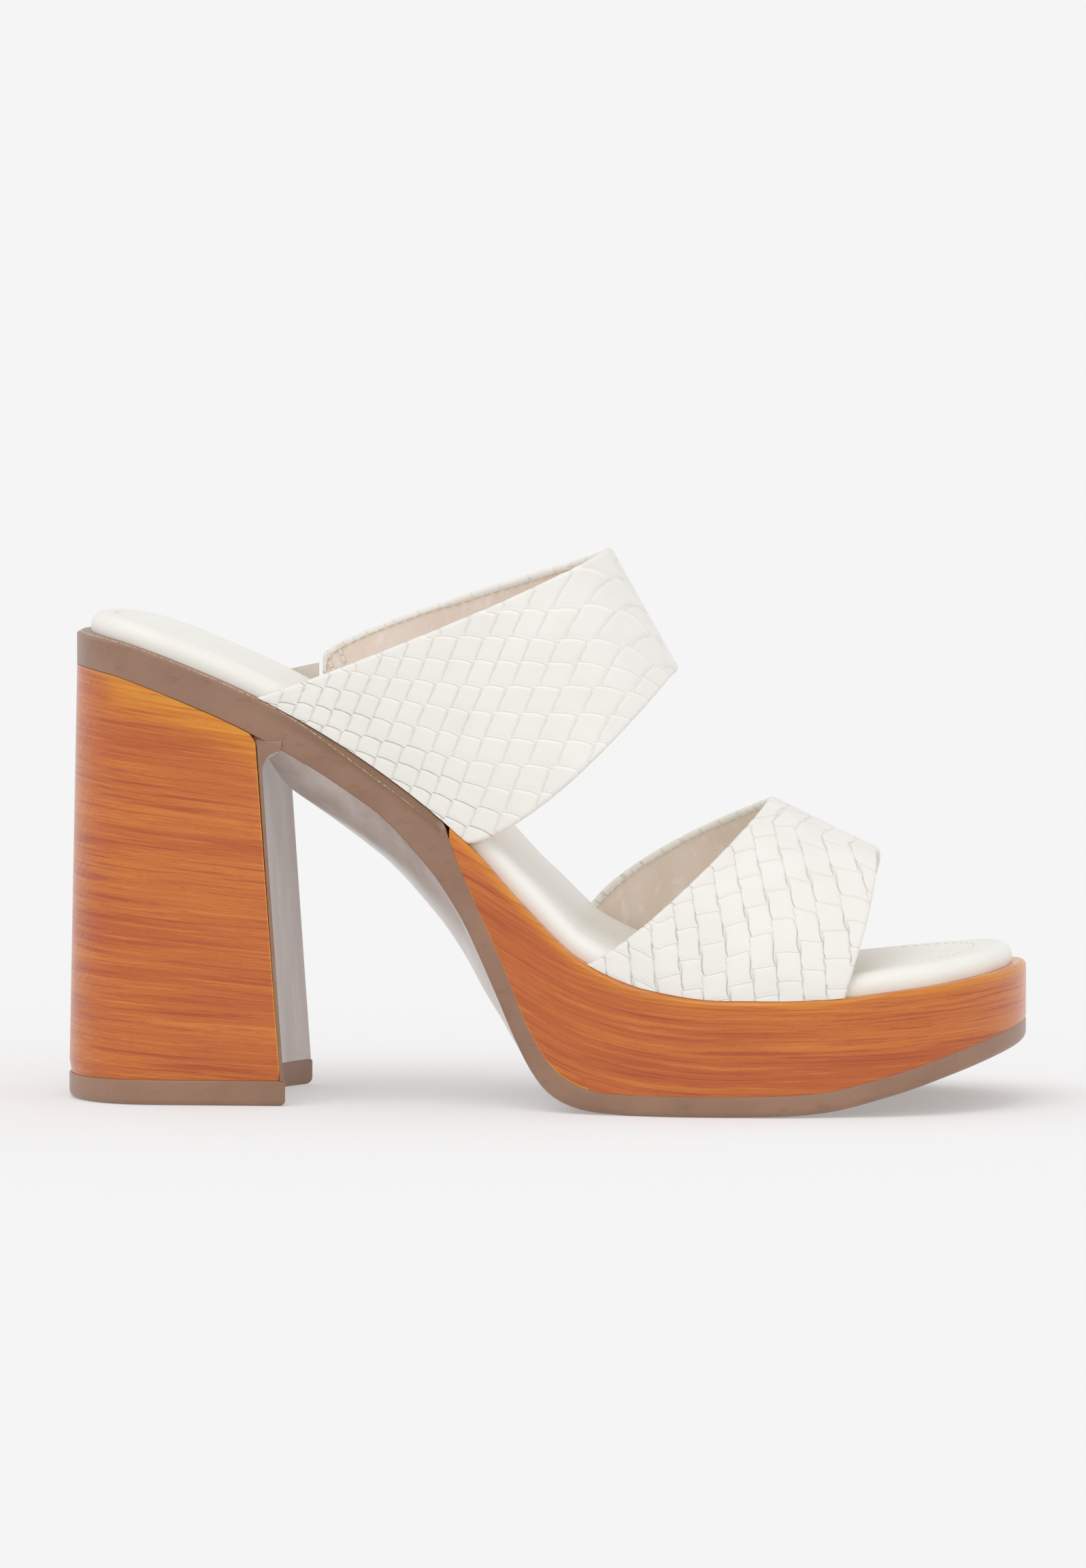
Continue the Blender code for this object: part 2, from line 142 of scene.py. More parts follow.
# Embossed scales of each strap, in millimetres on the strap unrolled across the foot. Row lines are
# heights at the stations along the shoe, with more rows over the crest at the steps given. Column
# lines are places at the base height, and the lean moves them along for each millimetre above or
# below it, and back again past the lean's top. Arch, step, saw and bend shape each scale's lines, as
# shares of a row or a column.
BACK_SCALES = {
    "stations": (60.0, 80.0, 100.0, 120.0, 138.0),
    "rows": (
        (64.5, 57.0, 49.0, 40.0, 38.5),
        (68.5, 61.5, 53.5, 46.0, 44.5),
        (72.5, 66.0, 58.0, 52.0, 50.5),
        (76.5, 70.0, 62.8, 58.0, 56.5),
        (80.5, 74.3, 67.5, 64.0, 63.0),
        (84.4, 78.5, 72.7, 70.0, 69.5),
        (88.2, 82.8, 77.7, 76.5, 76.0),
        (92.2, 87.0, 83.1, 82.8, 82.5),
        (96.2, 92.1, 88.8, 88.8, 89.0),
        (101.0, 97.5, 94.7, 94.8, 96.5),
        (105.7, 102.6, 100.6, 101.0, 103.5),
        (110.0, 107.5, 106.7, 106.5, 109.0),
        (114.5, 112.2, 112.5, 111.8, 115.5),
        (119.5, 118.0, 118.0, 119.3, 126.5),
        (125.5, 124.5, 126.0, 129.0, 138.0),
    ),
    "over_crest": (10.0, 10.0),
    "columns": (30.0, 35.0, 40.3, 45.4, 50.6, 55.1, 59.7, 64.4, 69.6, 74.7, 80.3, 86.1, 92.3, 97.8, 103.6,
                110.2, 116.6, 123.6, 130.5, 138.0),
    "base": 90.0,
    "lean_up": 0.50,
    "lean_down": 0.48,
    "lean_top": 140.0,
    "arch": 0.055,
    "step": 0.15,
    "saw": 0.18,
    "bend": 0.03,
}
FRONT_SCALES = {
    "stations": (146.0, 160.0, 176.0, 192.0),
    "rows": (
        (-24.0, -14.0, -3.5, 4.0),
        (-17.0, -7.0, 3.5, 11.0),
        (-10.5, -0.5, 10.5, 18.0),
        (-3.5, 6.5, 17.5, 25.0),
        (3.5, 13.5, 24.5, 32.0),
        (10.5, 20.5, 32.0, 40.0),
        (17.5, 27.5, 39.5, 48.0),
        (24.5, 34.5, 49.5, 56.5),
        (31.5, 42.5, 59.5, 68.5),
        (39.0, 51.5, 72.0, 82.5),
        (45.5, 60.5, 84.5, 96.5),
        (52.5, 69.5, 94.5, 106.5),
    ),
    "over_crest": (9.5, 9.5),
    "columns": (96.5, 102.5, 108.5, 114.5, 120.5, 126.5, 132.5, 138.5, 144.1, 150.2, 155.3, 161.3, 167.2,
                172.9, 178.8, 184.3, 190.5, 197.0, 203.0, 209.0),
    "base": 45.0,
    "lean_up": -0.21,
    "lean_down": -0.10,
    "lean_top": 82.0,
    "arch": 0.02,
    "step": 0.40,
    "saw": 0.09,
    "bend": 0.05,
}


def curve(table, place_column, value_column, place):
    """Smooth curve through a table's rows that never swings past them."""
    xs = np.array(table[place_column])
    ys = np.array(table[value_column])
    place = np.clip(place, xs[0], xs[-1])
    steps = np.diff(xs)
    slopes = np.diff(ys) / steps
    tangents = np.zeros(len(xs))
    for i in range(1, len(xs) - 1):
        before, after = slopes[i - 1], slopes[i]
        if before * after > 0:
            tangents[i] = 2.0 * before * after / (before + after)
    tangents[0] = slopes[0]
    tangents[-1] = slopes[-1]
    row = np.clip(np.searchsorted(xs, place, side="right") - 1, 0, len(xs) - 2)
    step = steps[row]
    t = (place - xs[row]) / step
    return ((1 + 2 * t) * (1 - t) ** 2 * ys[row] + t * (1 - t) ** 2 * step * tangents[row]
            + t * t * (3 - 2 * t) * ys[row + 1] + t * t * (t - 1) * step * tangents[row + 1])


def rim_height(x):
    place = x / LENGTH
    climb = curve(RIM, "place", "height", place) * (SEAT_HEIGHT - PLATFORM_HEIGHT)
    return PLATFORM_HEIGHT + climb + curve(SPRING, "place", "rim", place) * TOE_RIM_RISE


def slope_factor(height, x):
    """Length along a sloping surface for each unit along X."""
    probe = 1.0 * MM
    return np.hypot(1.0, (height(x + probe) - height(x - probe)) / (2 * probe))


def band_bottom(x):
    return rim_height(x) - BAND * slope_factor(rim_height, x)


def tread_height(x):
    place = x / LENGTH
    left = curve(UNDERSIDE, "place", "left", place)
    return band_bottom(x) * left + curve(SPRING, "place", "tread", place) * TOE_TREAD_RISE


def platform_bottom(x):
    depth = curve(TAIL, "place", "depth", x / LENGTH)
    room = rim_height(x) - tread_height(x) - TREAD
    return rim_height(x) - depth * room


def superellipse(t, power):
    t = np.clip(t, 0.0, 1.0)
    return (1.0 - (1.0 - t) ** power) ** (1.0 / power)


def half_width(x, side):
    """Half width of the sole at x on the outer or the inner side, and the end's sideways shift."""
    width = curve(OUTLINE, "place", side, x / LENGTH) * BALL_WIDTH
    heel = superellipse((x - HEEL_RAKE) / (HEEL_END * LENGTH), HEEL_END_POWER)
    toe = superellipse((LENGTH - x) / (TOE_END * LENGTH), TOE_END_POWER)
    tip = TOE_TIP_ASIDE * BALL_WIDTH * (1.0 if side == "inner" else -1.0)
    return tip * (1 - toe) + width * heel * toe


def sole_places(start, end, spacing):
    """Places along X between start and end, with the rounded ends drawn together."""
    angles = np.linspace(math.radians(2.5), math.pi / 2, END_PLACES)
    heel = HEEL_RAKE + HEEL_END * LENGTH * (1 - np.cos(angles))
    toe = LENGTH - TOE_END * LENGTH * (1 - np.cos(angles[::-1]))
    middle = np.arange(heel[-1] + spacing, toe[0] - spacing / 2, spacing)
    places = np.concatenate([heel, middle, toe])
    inside = places[(places > start + spacing / 3) & (places < end - spacing / 3)]
    first = heel[0] if start <= HEEL_RAKE else start
    last = toe[-1] if end >= LENGTH else end
    return np.concatenate([[first], inside[inside > first], [last]])


def outline_grid(places, inset, columns):
    """Plan grid, a row for each place, from the outer edge to the inner one, moved in by inset."""
    outer = np.stack([places, -half_width(places, "outer")], axis=1)
    inner = np.stack([places, half_width(places, "inner")], axis=1)
    loop = np.concatenate([outer, inner[::-1]])
    along = np.roll(loop, -1, axis=0) - np.roll(loop, 1, axis=0)
    along /= np.linalg.norm(along, axis=1)[:, None]
    inward = np.stack([-along[:, 1], along[:, 0]], axis=1)
    count = len(places)
    if places[0] > HEEL_RAKE + HEEL_END * LENGTH:
        inward[0] = (0.0, 1.0)
        inward[-1] = (0.0, -1.0)
    depth = inset * np.ones(count)
    moved = loop + np.concatenate([depth, depth[::-1]])[:, None] * inward
    outer, inner = moved[:count], moved[count:][::-1]
    across = np.linspace(0.0, 1.0, columns + 1)[None, :, None]
    return outer[:, None, :] * (1 - across) + inner[:, None, :] * across


def raise_grid(plan, height):
    """Plan grid with heights: one height, a grid of them, or a function of X."""
    z = height(plan[..., 0]) if callable(height) else height * np.ones(plan.shape[:2])
    return np.concatenate([plan, z[..., None]], axis=2)


def add_object(name, data):
    item = bpy.data.objects.new(name, data)
    bpy.context.scene.collection.objects.link(item)
    return item


def mesh_object(name, points, faces, smooth_angle, *finishes):
    """Object of a mesh given in the model's own plan, moved over the frame's origin."""
    mesh = bpy.data.meshes.new(name)
    mesh.from_pydata((np.asarray(points) - CENTRE).tolist(), [], faces)
    mesh.update()
    mesh.shade_smooth()
    mesh.set_sharp_from_angle(angle=math.radians(smooth_angle))
    for finish in finishes:
        mesh.materials.append(finish)
    return add_object(name, mesh)


def give_values(item, **named):
    """Named numbers for each point of the mesh, for its material."""
    for name, values in named.items():
        layer = item.data.attributes.new(name, "FLOAT", "POINT")
        layer.data.foreach_set("value", np.asarray(values, dtype=np.float32).ravel())


def quads(rows, columns, offset=0, flip=False):
    """Faces of a grid of points that are numbered row by row from offset."""
    number = offset + np.arange(rows * columns).reshape(rows, columns)
    faces = np.stack([number[:-1, :-1], number[1:, :-1], number[1:, 1:], number[:-1, 1:]], axis=2)
    faces = faces.reshape(-1, 4)
    return (faces[:, ::-1] if flip else faces).tolist()


def loop_numbers(rows, columns):
    """Point numbers round a grid's edge, the outer side first."""
    number = np.arange(rows * columns).reshape(rows, columns)
    return np.concatenate([number[:, 0], number[-1, 1:-1], number[::-1, -1], number[0, -2:0:-1]])


def stacked(name, grids, smooth_angle, *finishes):
    """Closed mesh between the first grid and the last, through the edges of those between."""
    rows, columns = grids[0].shape[:2]
    loop = loop_numbers(rows, columns)
    points = [grids[0].reshape(-1, 3)]
    faces = quads(rows, columns, 0, flip=True)
    ring = loop
    total = rows * columns
    for grid in grids[1:-1]:
        points.append(grid.reshape(-1, 3)[loop])
        above = total + np.arange(len(loop))
        faces += ring_faces(ring, above)
        ring = above
        total += len(loop)
    points.append(grids[-1].reshape(-1, 3))
    faces += ring_faces(ring, total + loop)
    faces += quads(rows, columns, total)
    return mesh_object(name, np.concatenate(points), faces, smooth_angle, *finishes)


def ring_faces(below, above):
    return np.stack([below, np.roll(below, -1), np.roll(above, -1), above], axis=1).tolist()


def points_of(item):
    """The mesh's points in the model's own plan."""
    points = np.zeros(len(item.data.vertices) * 3)
    item.data.vertices.foreach_get("co", points)
    return points.reshape(-1, 3) + CENTRE


class Term:
    """A number inside a material, which sums and products of turn into nodes."""

    def __init__(self, tree, socket):
        self.tree = tree
        self.socket = socket

    def maths(self, operation, *others):
        node = self.tree.nodes.new("ShaderNodeMath")
        node.operation = operation
        self.tree.links.new(self.socket, node.inputs[0])
        for slot, other in enumerate(others, start=1):
            feed(self.tree, other, node.inputs[slot])
        return Term(self.tree, node.outputs[0])

    def __add__(self, other):
        return self.maths("ADD", other)

    def __sub__(self, other):
        return self.maths("SUBTRACT", other)

    def __mul__(self, other):
        return self.maths("MULTIPLY", other)

    def __rsub__(self, other):
        return self.maths("MULTIPLY", -1.0) + other

    __radd__ = __add__
    __rmul__ = __mul__


def feed(tree, value, socket):
    """Links a term to a socket, or sets the socket to a plain value."""
    if isinstance(value, Term):
        tree.links.new(value.socket, socket)
    else:
        socket.default_value = value


def either(operation, plain):
    """Function of numbers that also takes terms, and then makes nodes."""
    def worked_out(value, *others):
        return value.maths(operation, *others) if isinstance(value, Term) else plain(value, *others)
    return worked_out


whole = either("FLOOR", np.floor)
sine = either("SINE", np.sin)
smaller = either("MINIMUM", np.minimum)
larger = either("MAXIMUM", np.maximum)


def ease(value, start, end):
    """0 up to start and 1 from end on, with a smooth step between."""
    share = larger(smaller((value - start) * (1.0 / (end - start)), 1.0), 0.0)
    return share * share * (3.0 - 2.0 * share)


def fade(value, start, end):
    """1 up to start and 0 from end on."""
    return 1.0 - ease(value, start, end)


class Finish:
    """A Principled material with short calls for its nodes."""

    def __init__(self, name, roughness, coat=0.0, coat_roughness=0.1, specular=0.5, sheen=0.0):
        self.material = bpy.data.materials.new(name)
        self.material.use_nodes = True
        self.tree = self.material.node_tree
        self.shader = self.tree.nodes["Principled BSDF"]
        self.set("Roughness", roughness)
        self.set("Coat Weight", coat)
        self.set("Coat Roughness", coat_roughness)
        self.set("Specular IOR Level", specular)
        self.set("Sheen Weight", sheen)

    def set(self, socket, value):
        feed(self.tree, value, self.shader.inputs[socket])

    def value(self, name):
        """The mesh's own named number."""
        node = self.tree.nodes.new("ShaderNodeAttribute")
        node.attribute_name = name
        return Term(self.tree, node.outputs["Fac"])

    def place(self):
        """X, Y and Z of the surface in metres."""
        coordinates = self.tree.nodes.new("ShaderNodeTexCoord")
        split = self.tree.nodes.new("ShaderNodeSeparateXYZ")
        self.tree.links.new(coordinates.outputs["Object"], split.inputs[0])
        return [Term(self.tree, output) for output in split.outputs]

    def spot(self, x=1.0, y=1.0, z=1.0):
        """The surface's place as a vector, with a scale for each direction."""
        return self.vector(*(part * scale for part, scale in zip(self.place(), (x, y, z))))

    def vector(self, x, y, z):
        node = self.tree.nodes.new("ShaderNodeCombineXYZ")
        for slot, part in enumerate((x, y, z)):
            feed(self.tree, part, node.inputs[slot])
        return Term(self.tree, node.outputs[0])

    def noise(self, vector, scale=1.0, detail=3.0, roughness=0.55, distortion=0.0):
        node = self.tree.nodes.new("ShaderNodeTexNoise")
        self.tree.links.new(vector.socket, node.inputs["Vector"])
        node.inputs["Scale"].default_value = scale
        node.inputs["Detail"].default_value = detail
        node.inputs["Roughness"].default_value = roughness
        node.inputs["Distortion"].default_value = distortion
        return Term(self.tree, node.outputs["Fac"])

    def mix(self, share, one, other):
        """Colour between two colours, each a triple or a term."""
        node = self.tree.nodes.new("ShaderNodeMix")
        node.data_type = "RGBA"
        feed(self.tree, share, node.inputs["Factor"])
        for slot, colour in ((6, one), (7, other)):
            feed(self.tree, colour if isinstance(colour, Term) else (*colour, 1.0), node.inputs[slot])
        return Term(self.tree, node.outputs[2])

    def bump(self, height, depth, strength=1.0, under=None):
        """Bump of a height from 0 to 1 that stands for depth in metres."""
        node = self.tree.nodes.new("ShaderNodeBump")
        node.inputs["Strength"].default_value = strength
        node.inputs["Distance"].default_value = depth
        feed(self.tree, height, node.inputs["Height"])
        if under is not None:
            self.tree.links.new(under.socket, node.inputs["Normal"])
        return Term(self.tree, node.outputs[0])

    def done(self, colour, normal):
        self.set("Base Color", colour)
        self.set("Normal", normal)
        return self.material


def scale_cells(row, column, scales):
    """Shares of an embossed scale: distance to its row lines and to its side lines, and its height share."""
    share = column - whole(column)
    lifted = row - share * (1.0 - share) * (4.0 * scales["arch"]) + (share - 0.5) * scales["step"]
    level = whole(lifted)
    within = lifted - level
    sway = sine(level * 2.4) * 0.05 + sine(within * (2 * math.pi)) * scales["bend"]
    shifted = column + (within - 0.5) * scales["saw"] + sway
    side = shifted - whole(shifted)
    return smaller(within, 1.0 - within), smaller(side, 1.0 - side), within


# Finishes

# CREAM_HIGHLIGHT is a painted highlight colour; CREAM_SHADOW and CREASE_SHADE are painted shade colours for
# the scales' lines.
CREAM = (0.875, 0.853, 0.805)
CREAM_HIGHLIGHT = (0.96, 0.90, 0.855)
CREAM_SHADOW = (0.74, 0.67, 0.60)
CREASE_SHADE = (0.40, 0.33, 0.27)


def strap_leather(name, scales, dark_rows):
    """Cream leather embossed with scales, with painted shade in the scales' lines, darkest towards the sole,
    and on the back strap a painted highlight along each scale's upper edge; dark_rows says whether rows or
    columns hold the darkest painted crease shade.
    """
    made = Finish(name, 0.5, specular=0.35, sheen=0.05)
    row = made.value("row")
    column = made.value("column")
    deep = made.value("deep")
    along, across, within = scale_cells(row, column, scales)
    where = made.spot()
    grain = made.noise(where, 2600.0, 4.0, 0.6)
    mottle = made.noise(where, 90.0, 2.0)
    broken = ease(made.noise(where, 700.0, 2.0), 0.30, 0.55)
    row_line = fade(along, 0.008, 0.035) * (0.45 + 0.55 * broken)
    side_line = fade(across, 0.006, 0.035) * (0.55 + 0.45 * broken)
    colour = made.mix(ease(mottle, 0.3, 0.7), CREAM, (0.845, 0.823, 0.775))
    if dark_rows:
        # Back strap: a painted highlight along each scale's upper edge away from the sole, painted shade in
        # the side lines, and row lines painted with shade that darkens towards the sole.
        crest = ease(within, 0.84, 0.92) * (1.0 - deep)
        colour = made.mix(crest * 0.55, colour, CREAM_HIGHLIGHT)
        colour = made.mix(side_line * 0.42, colour, CREAM_SHADOW)
        row_colour = made.mix(deep, (0.78, 0.72, 0.66), CREASE_SHADE)
        colour = made.mix(row_line * (0.30 + 0.40 * deep), colour, row_colour)
    else:
        # Front strap: painted shade in the row lines, and in the side lines painted shade that is darkest in
        # each scale's lower part and towards the sole.
        colour = made.mix(row_line * 0.35, colour, CREAM_SHADOW)
        lower_crease_shade = ease(1.0 - within, 0.10, 0.5)
        side_colour = made.mix(deep, CREAM_SHADOW, CREASE_SHADE)
        colour = made.mix(side_line * (lower_crease_shade * 0.55 + 0.2), colour, side_colour)
    rise = smaller(ease(within, 0.0, 0.06), fade(within, 0.955, 0.995)) * (0.6 + 0.4 * within)
    normal = made.bump(smaller(rise, ease(across, 0.0, 0.07)), 0.16 * MM, 0.85)
    return made.done(colour, made.bump(grain, 0.035 * MM, 0.6, normal))


def lining_leather():
    """Pinkish beige lining with fine wrinkles, whose raised crests are painted paler as a highlight."""
    made = Finish("lining", 0.5, specular=0.4)
    where = made.spot(z=0.45)
    wrinkle = made.noise(where, 420.0, 5.0, 0.62, 0.6)
    mottle = made.noise(where, 110.0, 3.0)
    colour = made.mix(ease(mottle, 0.3, 0.7), (0.83, 0.70, 0.60), (0.88, 0.77, 0.68))
    # Painted highlight: paler colour on the raised wrinkles.
    colour = made.mix(ease(wrinkle, 0.52, 0.70) * 0.55, colour, (0.95, 0.88, 0.82))
    return made.done(colour, made.bump(wrinkle, 0.22 * MM, 0.75))


def footbed_leather():
    made = Finish("footbed_leather", 0.42, specular=0.4)
    where = made.spot()
    mottle = made.noise(where, 60.0, 3.0)
    grain = made.noise(where, 1900.0, 3.0)
    colour = made.mix(ease(mottle, 0.3, 0.7), (0.885, 0.872, 0.815), (0.86, 0.845, 0.785))
    soft = made.bump(mottle, 0.25 * MM, 0.5)
    return made.done(colour, made.bump(grain, 0.03 * MM, 0.6, soft))


def wood(name, highlight_width, glow_reach, glow):
    """Lacquered wood look: fine streaks along the mesh's own grain, with a painted golden highlight along
    its edge and a painted golden glow below its top.
    """
    made = Finish(name, 0.40, coat=0.45, coat_roughness=0.12, specular=0.25)
    along = made.value("grain_along")
    across = made.value("grain_across")
    depth = made.place()[1]
    sway = made.noise(made.vector(along * 12.0, across * 55.0, depth * 8.0), 1.0, 2.0)
    height = across + (sway - 0.5) * (2.4 * MM)

    def drawn(lengthwise, crosswise, inward, detail, roughness):
        """Noise drawn out along the grain."""
        where = made.vector(along * lengthwise, height * crosswise, depth * inward)
        return made.noise(where, 1.0, detail, roughness)

    bands = drawn(6.0, 130.0, 5.0, 3.0, 0.6)
    streaks = drawn(26.0, 1250.0, 14.0, 5.0, 0.66)
    fine = drawn(90.0, 3600.0, 60.0, 4.0, 0.65)
    pores = drawn(380.0, 2600.0, 300.0, 3.0, 0.6)
    colour = made.mix(ease(bands, 0.36, 0.64), (0.50, 0.112, 0.022), (0.60, 0.168, 0.027))
    colour = made.mix(ease(streaks, 0.52, 0.66) * 0.6, colour, (0.70, 0.235, 0.040))
    colour = made.mix(fade(streaks, 0.36, 0.47) * 0.75, colour, (0.37, 0.064, 0.018))
    colour = made.mix(fade(fine, 0.38, 0.50) * 0.40, colour, (0.40, 0.075, 0.020))
    colour = made.mix(ease(pores, 0.56, 0.68) * 0.30, colour, (0.34, 0.058, 0.016))
    # Painted light: a golden highlight along the eased edge and a golden glow below the top, flickering with
    # the fine grain.
    golden_highlight = made.mix(ease(streaks, 0.35, 0.6), (0.66, 0.20, 0.012), (0.78, 0.34, 0.020))
    edge_highlight = fade(made.value("to_edge"), highlight_width * 0.4, highlight_width)
    edge_glow = fade(made.value("to_top"), 0.0, glow_reach)
    edge_glow = edge_glow * ease(made.value("glow"), 0.0, 1.0) * glow
    shimmer = ease(fine, 0.36, 0.56)
    colour = made.mix(larger(edge_highlight * 0.75, edge_glow) * (0.7 + 0.3 * shimmer), colour, golden_highlight)
    ridge = made.value("ridge")
    x, y, z = made.place()
    strokes = made.noise(made.vector((z + x) * 160.0, (z * 0.5 - x) * 900.0, y * 160.0), 1.0, 2.0, 0.5)
    grained = made.bump(streaks * 0.5 + fine * 0.5, 0.09 * MM, 0.55)
    return made.done(colour, made.bump(strokes * ridge, 0.45 * MM, 0.7, grained))


def sole_rubber(name, underneath):
    """Brown moulded unit: satin and finely grained outside, with painted shade under the strap and a painted
    highlight line along the bevel; glossier underneath, where the floor's pale reflection is painted into
    the colour.
    """
    made = Finish(name, 0.32 if underneath else 0.44, specular=0.9 if underneath else 0.45,
                  coat=1.0 if underneath else 0.30, coat_roughness=0.28)
    where = made.spot()
    grain = made.noise(where, 1300.0, 4.0, 0.65)
    if underneath:
        # Painted reflection: the underside is painted pale, standing for the white floor reflected in it.
        streak = made.noise(made.spot(140.0, 140.0, 18.0), 1.0, 3.0)
        colour = made.mix(ease(streak, 0.3, 0.7), (0.47, 0.38, 0.34), (0.60, 0.52, 0.48))
        colour = made.mix(ease(grain, 0.56, 0.70) * 0.35, colour, (0.36, 0.26, 0.21))
        return made.done(colour, made.bump(grain, 0.06 * MM, 0.4))
    mottle = made.noise(where, 45.0, 3.0)
    wrinkles = made.noise(made.spot(260.0, 260.0, 520.0), 1.0, 4.0, 0.62)
    below_rim = made.value("below_rim")
    forward = made.value("forward")
    colour = made.mix(ease(mottle, 0.3, 0.7), (0.268, 0.143, 0.088), (0.325, 0.180, 0.115))
    colour = made.mix(ease(wrinkles, 0.56, 0.70) * 0.35, colour, (0.21, 0.105, 0.06))
    # Painted highlight: a light line along the bevel's foot, broken into glints by the grain.
    highlight_depth = ease(forward, 52.0, 78.0) * 2.0 + 0.3
    shade = fade(below_rim, 2.0, 4.6) * ease(forward, 35.0, 75.0) * ease(below_rim, -0.5, 0.3)
    colour = made.mix(shade * 0.6, colour, (0.17, 0.090, 0.036))
    off_highlight = (below_rim - highlight_depth).maths("ABSOLUTE")
    line = fade(off_highlight, 0.05, 0.18) * ease(grain, 0.40, 0.58) * fade(forward, 80.0, 93.0)
    colour = made.mix(line * 0.65, colour, (0.74, 0.56, 0.44))
    low_line = fade(made.value("above_low"), 0.10, 0.32)
    colour = made.mix(low_line * 0.6, colour, (0.13, 0.05, 0.02))
    return made.done(colour, made.bump(grain * 0.5 + wrinkles * 0.5, 0.13 * MM, 0.6))


def plain_thread(name, colour, roughness):
    made = Finish(name, roughness, sheen=0.3)
    twist = made.noise(made.spot(), 5200.0, 2.0)
    darker = tuple(0.85 * part for part in colour)
    return made.done(made.mix(ease(twist, 0.35, 0.65), colour, darker), made.bump(twist, 0.05 * MM, 0.6))


def strap_face(table, rise, across, edges, upright=1.0):
    """Points of a strap's outer face for arrays of shares across the foot and shares of its width.

    upright is the share that is left of the inner end's straight climb from the sole.
    """
    def at(column):
        return curve(table, "edge", column, edges)

    outer_half = across <= 0.5
    sign = np.where(outer_half, -1.0, 1.0)
    foot_x = np.where(outer_half, at("outer"), at("inner")) * LENGTH
    foot_z = rim_height(foot_x) + VISIBLE_GAP
    crest_x = at("crest_place") * LENGTH
    crest_y = at("aside") * BALL_WIDTH
    ends = rim_height(np.array(table["outer"]) * LENGTH)
    crest_z = ends[0] + (ends[1] - ends[0]) * edges + CLEARANCE + at("crest") * rise
    angle = math.pi / 2 * (1 - np.abs(2 * across - 1))
    go, turn = np.sin(angle), np.cos(angle)
    cut = np.where(outer_half, 0.0, np.maximum(at("inner_cut"), LEAST_CUT))
    climb = cut * upright + (1 - cut) * go ** np.where(outer_half, at("outer_lag"), at("inner_lag"))
    x = foot_x + (crest_x - foot_x) * go + 2 * at("swell") * LENGTH * go * turn
    width = np.where(outer_half, half_width(x, "outer"), half_width(x, "inner"))
    side_y = sign * (width - STRAP_INSET)
    y = crest_y + (side_y - crest_y) * turn
    return np.stack([x, y, foot_z + (crest_z - foot_z) * climb], axis=-1)


def lattice(points, scales):
    """Row and column numbers of the scales over a strap, from its place along and round the foot.

    Heights are taken from the nearer foot, so the inner half repeats the outer one.
    """
    steps = np.hypot(np.diff(points[..., 1], axis=0), np.diff(points[..., 2], axis=0))
    climbed = np.concatenate([np.zeros((1, points.shape[1])), np.cumsum(steps, axis=0)])
    height = np.minimum(points[0, :, 2] + climbed, points[-1, :, 2] + climbed[-1] - climbed)
    place, height = points[..., 0] / MM, height / MM
    over = np.cumsum(scales["over_crest"])
    levels = [np.interp(place, scales["stations"], row) for row in scales["rows"]]
    levels += [levels[-1] + rise for rise in over]
    row = np.zeros(place.shape)
    for low, high in zip(levels, levels[1:]):
        row += np.clip((height - low) / (high - low), 0.0, 1.0)
    up = np.minimum(height, 2 * scales["lean_top"] - height) - scales["base"]
    lean = np.where(up > 0, scales["lean_up"], scales["lean_down"]) * up
    column = np.interp(place - lean, scales["columns"], np.arange(len(scales["columns"])))
    return row, column


# Fineness of the straps' meshes, and the edges and relief of their leather
STRAP_ROWS = 340
STRAP_END = 0.9985
STRAP_END_ROWS = 26
STRAP_COLUMNS = 112
EDGE_ARC = 6
TURNED_EDGE = 0.9 * MM
LINING_STEP = 0.18 * MM
RELIEF = 0.24 * MM


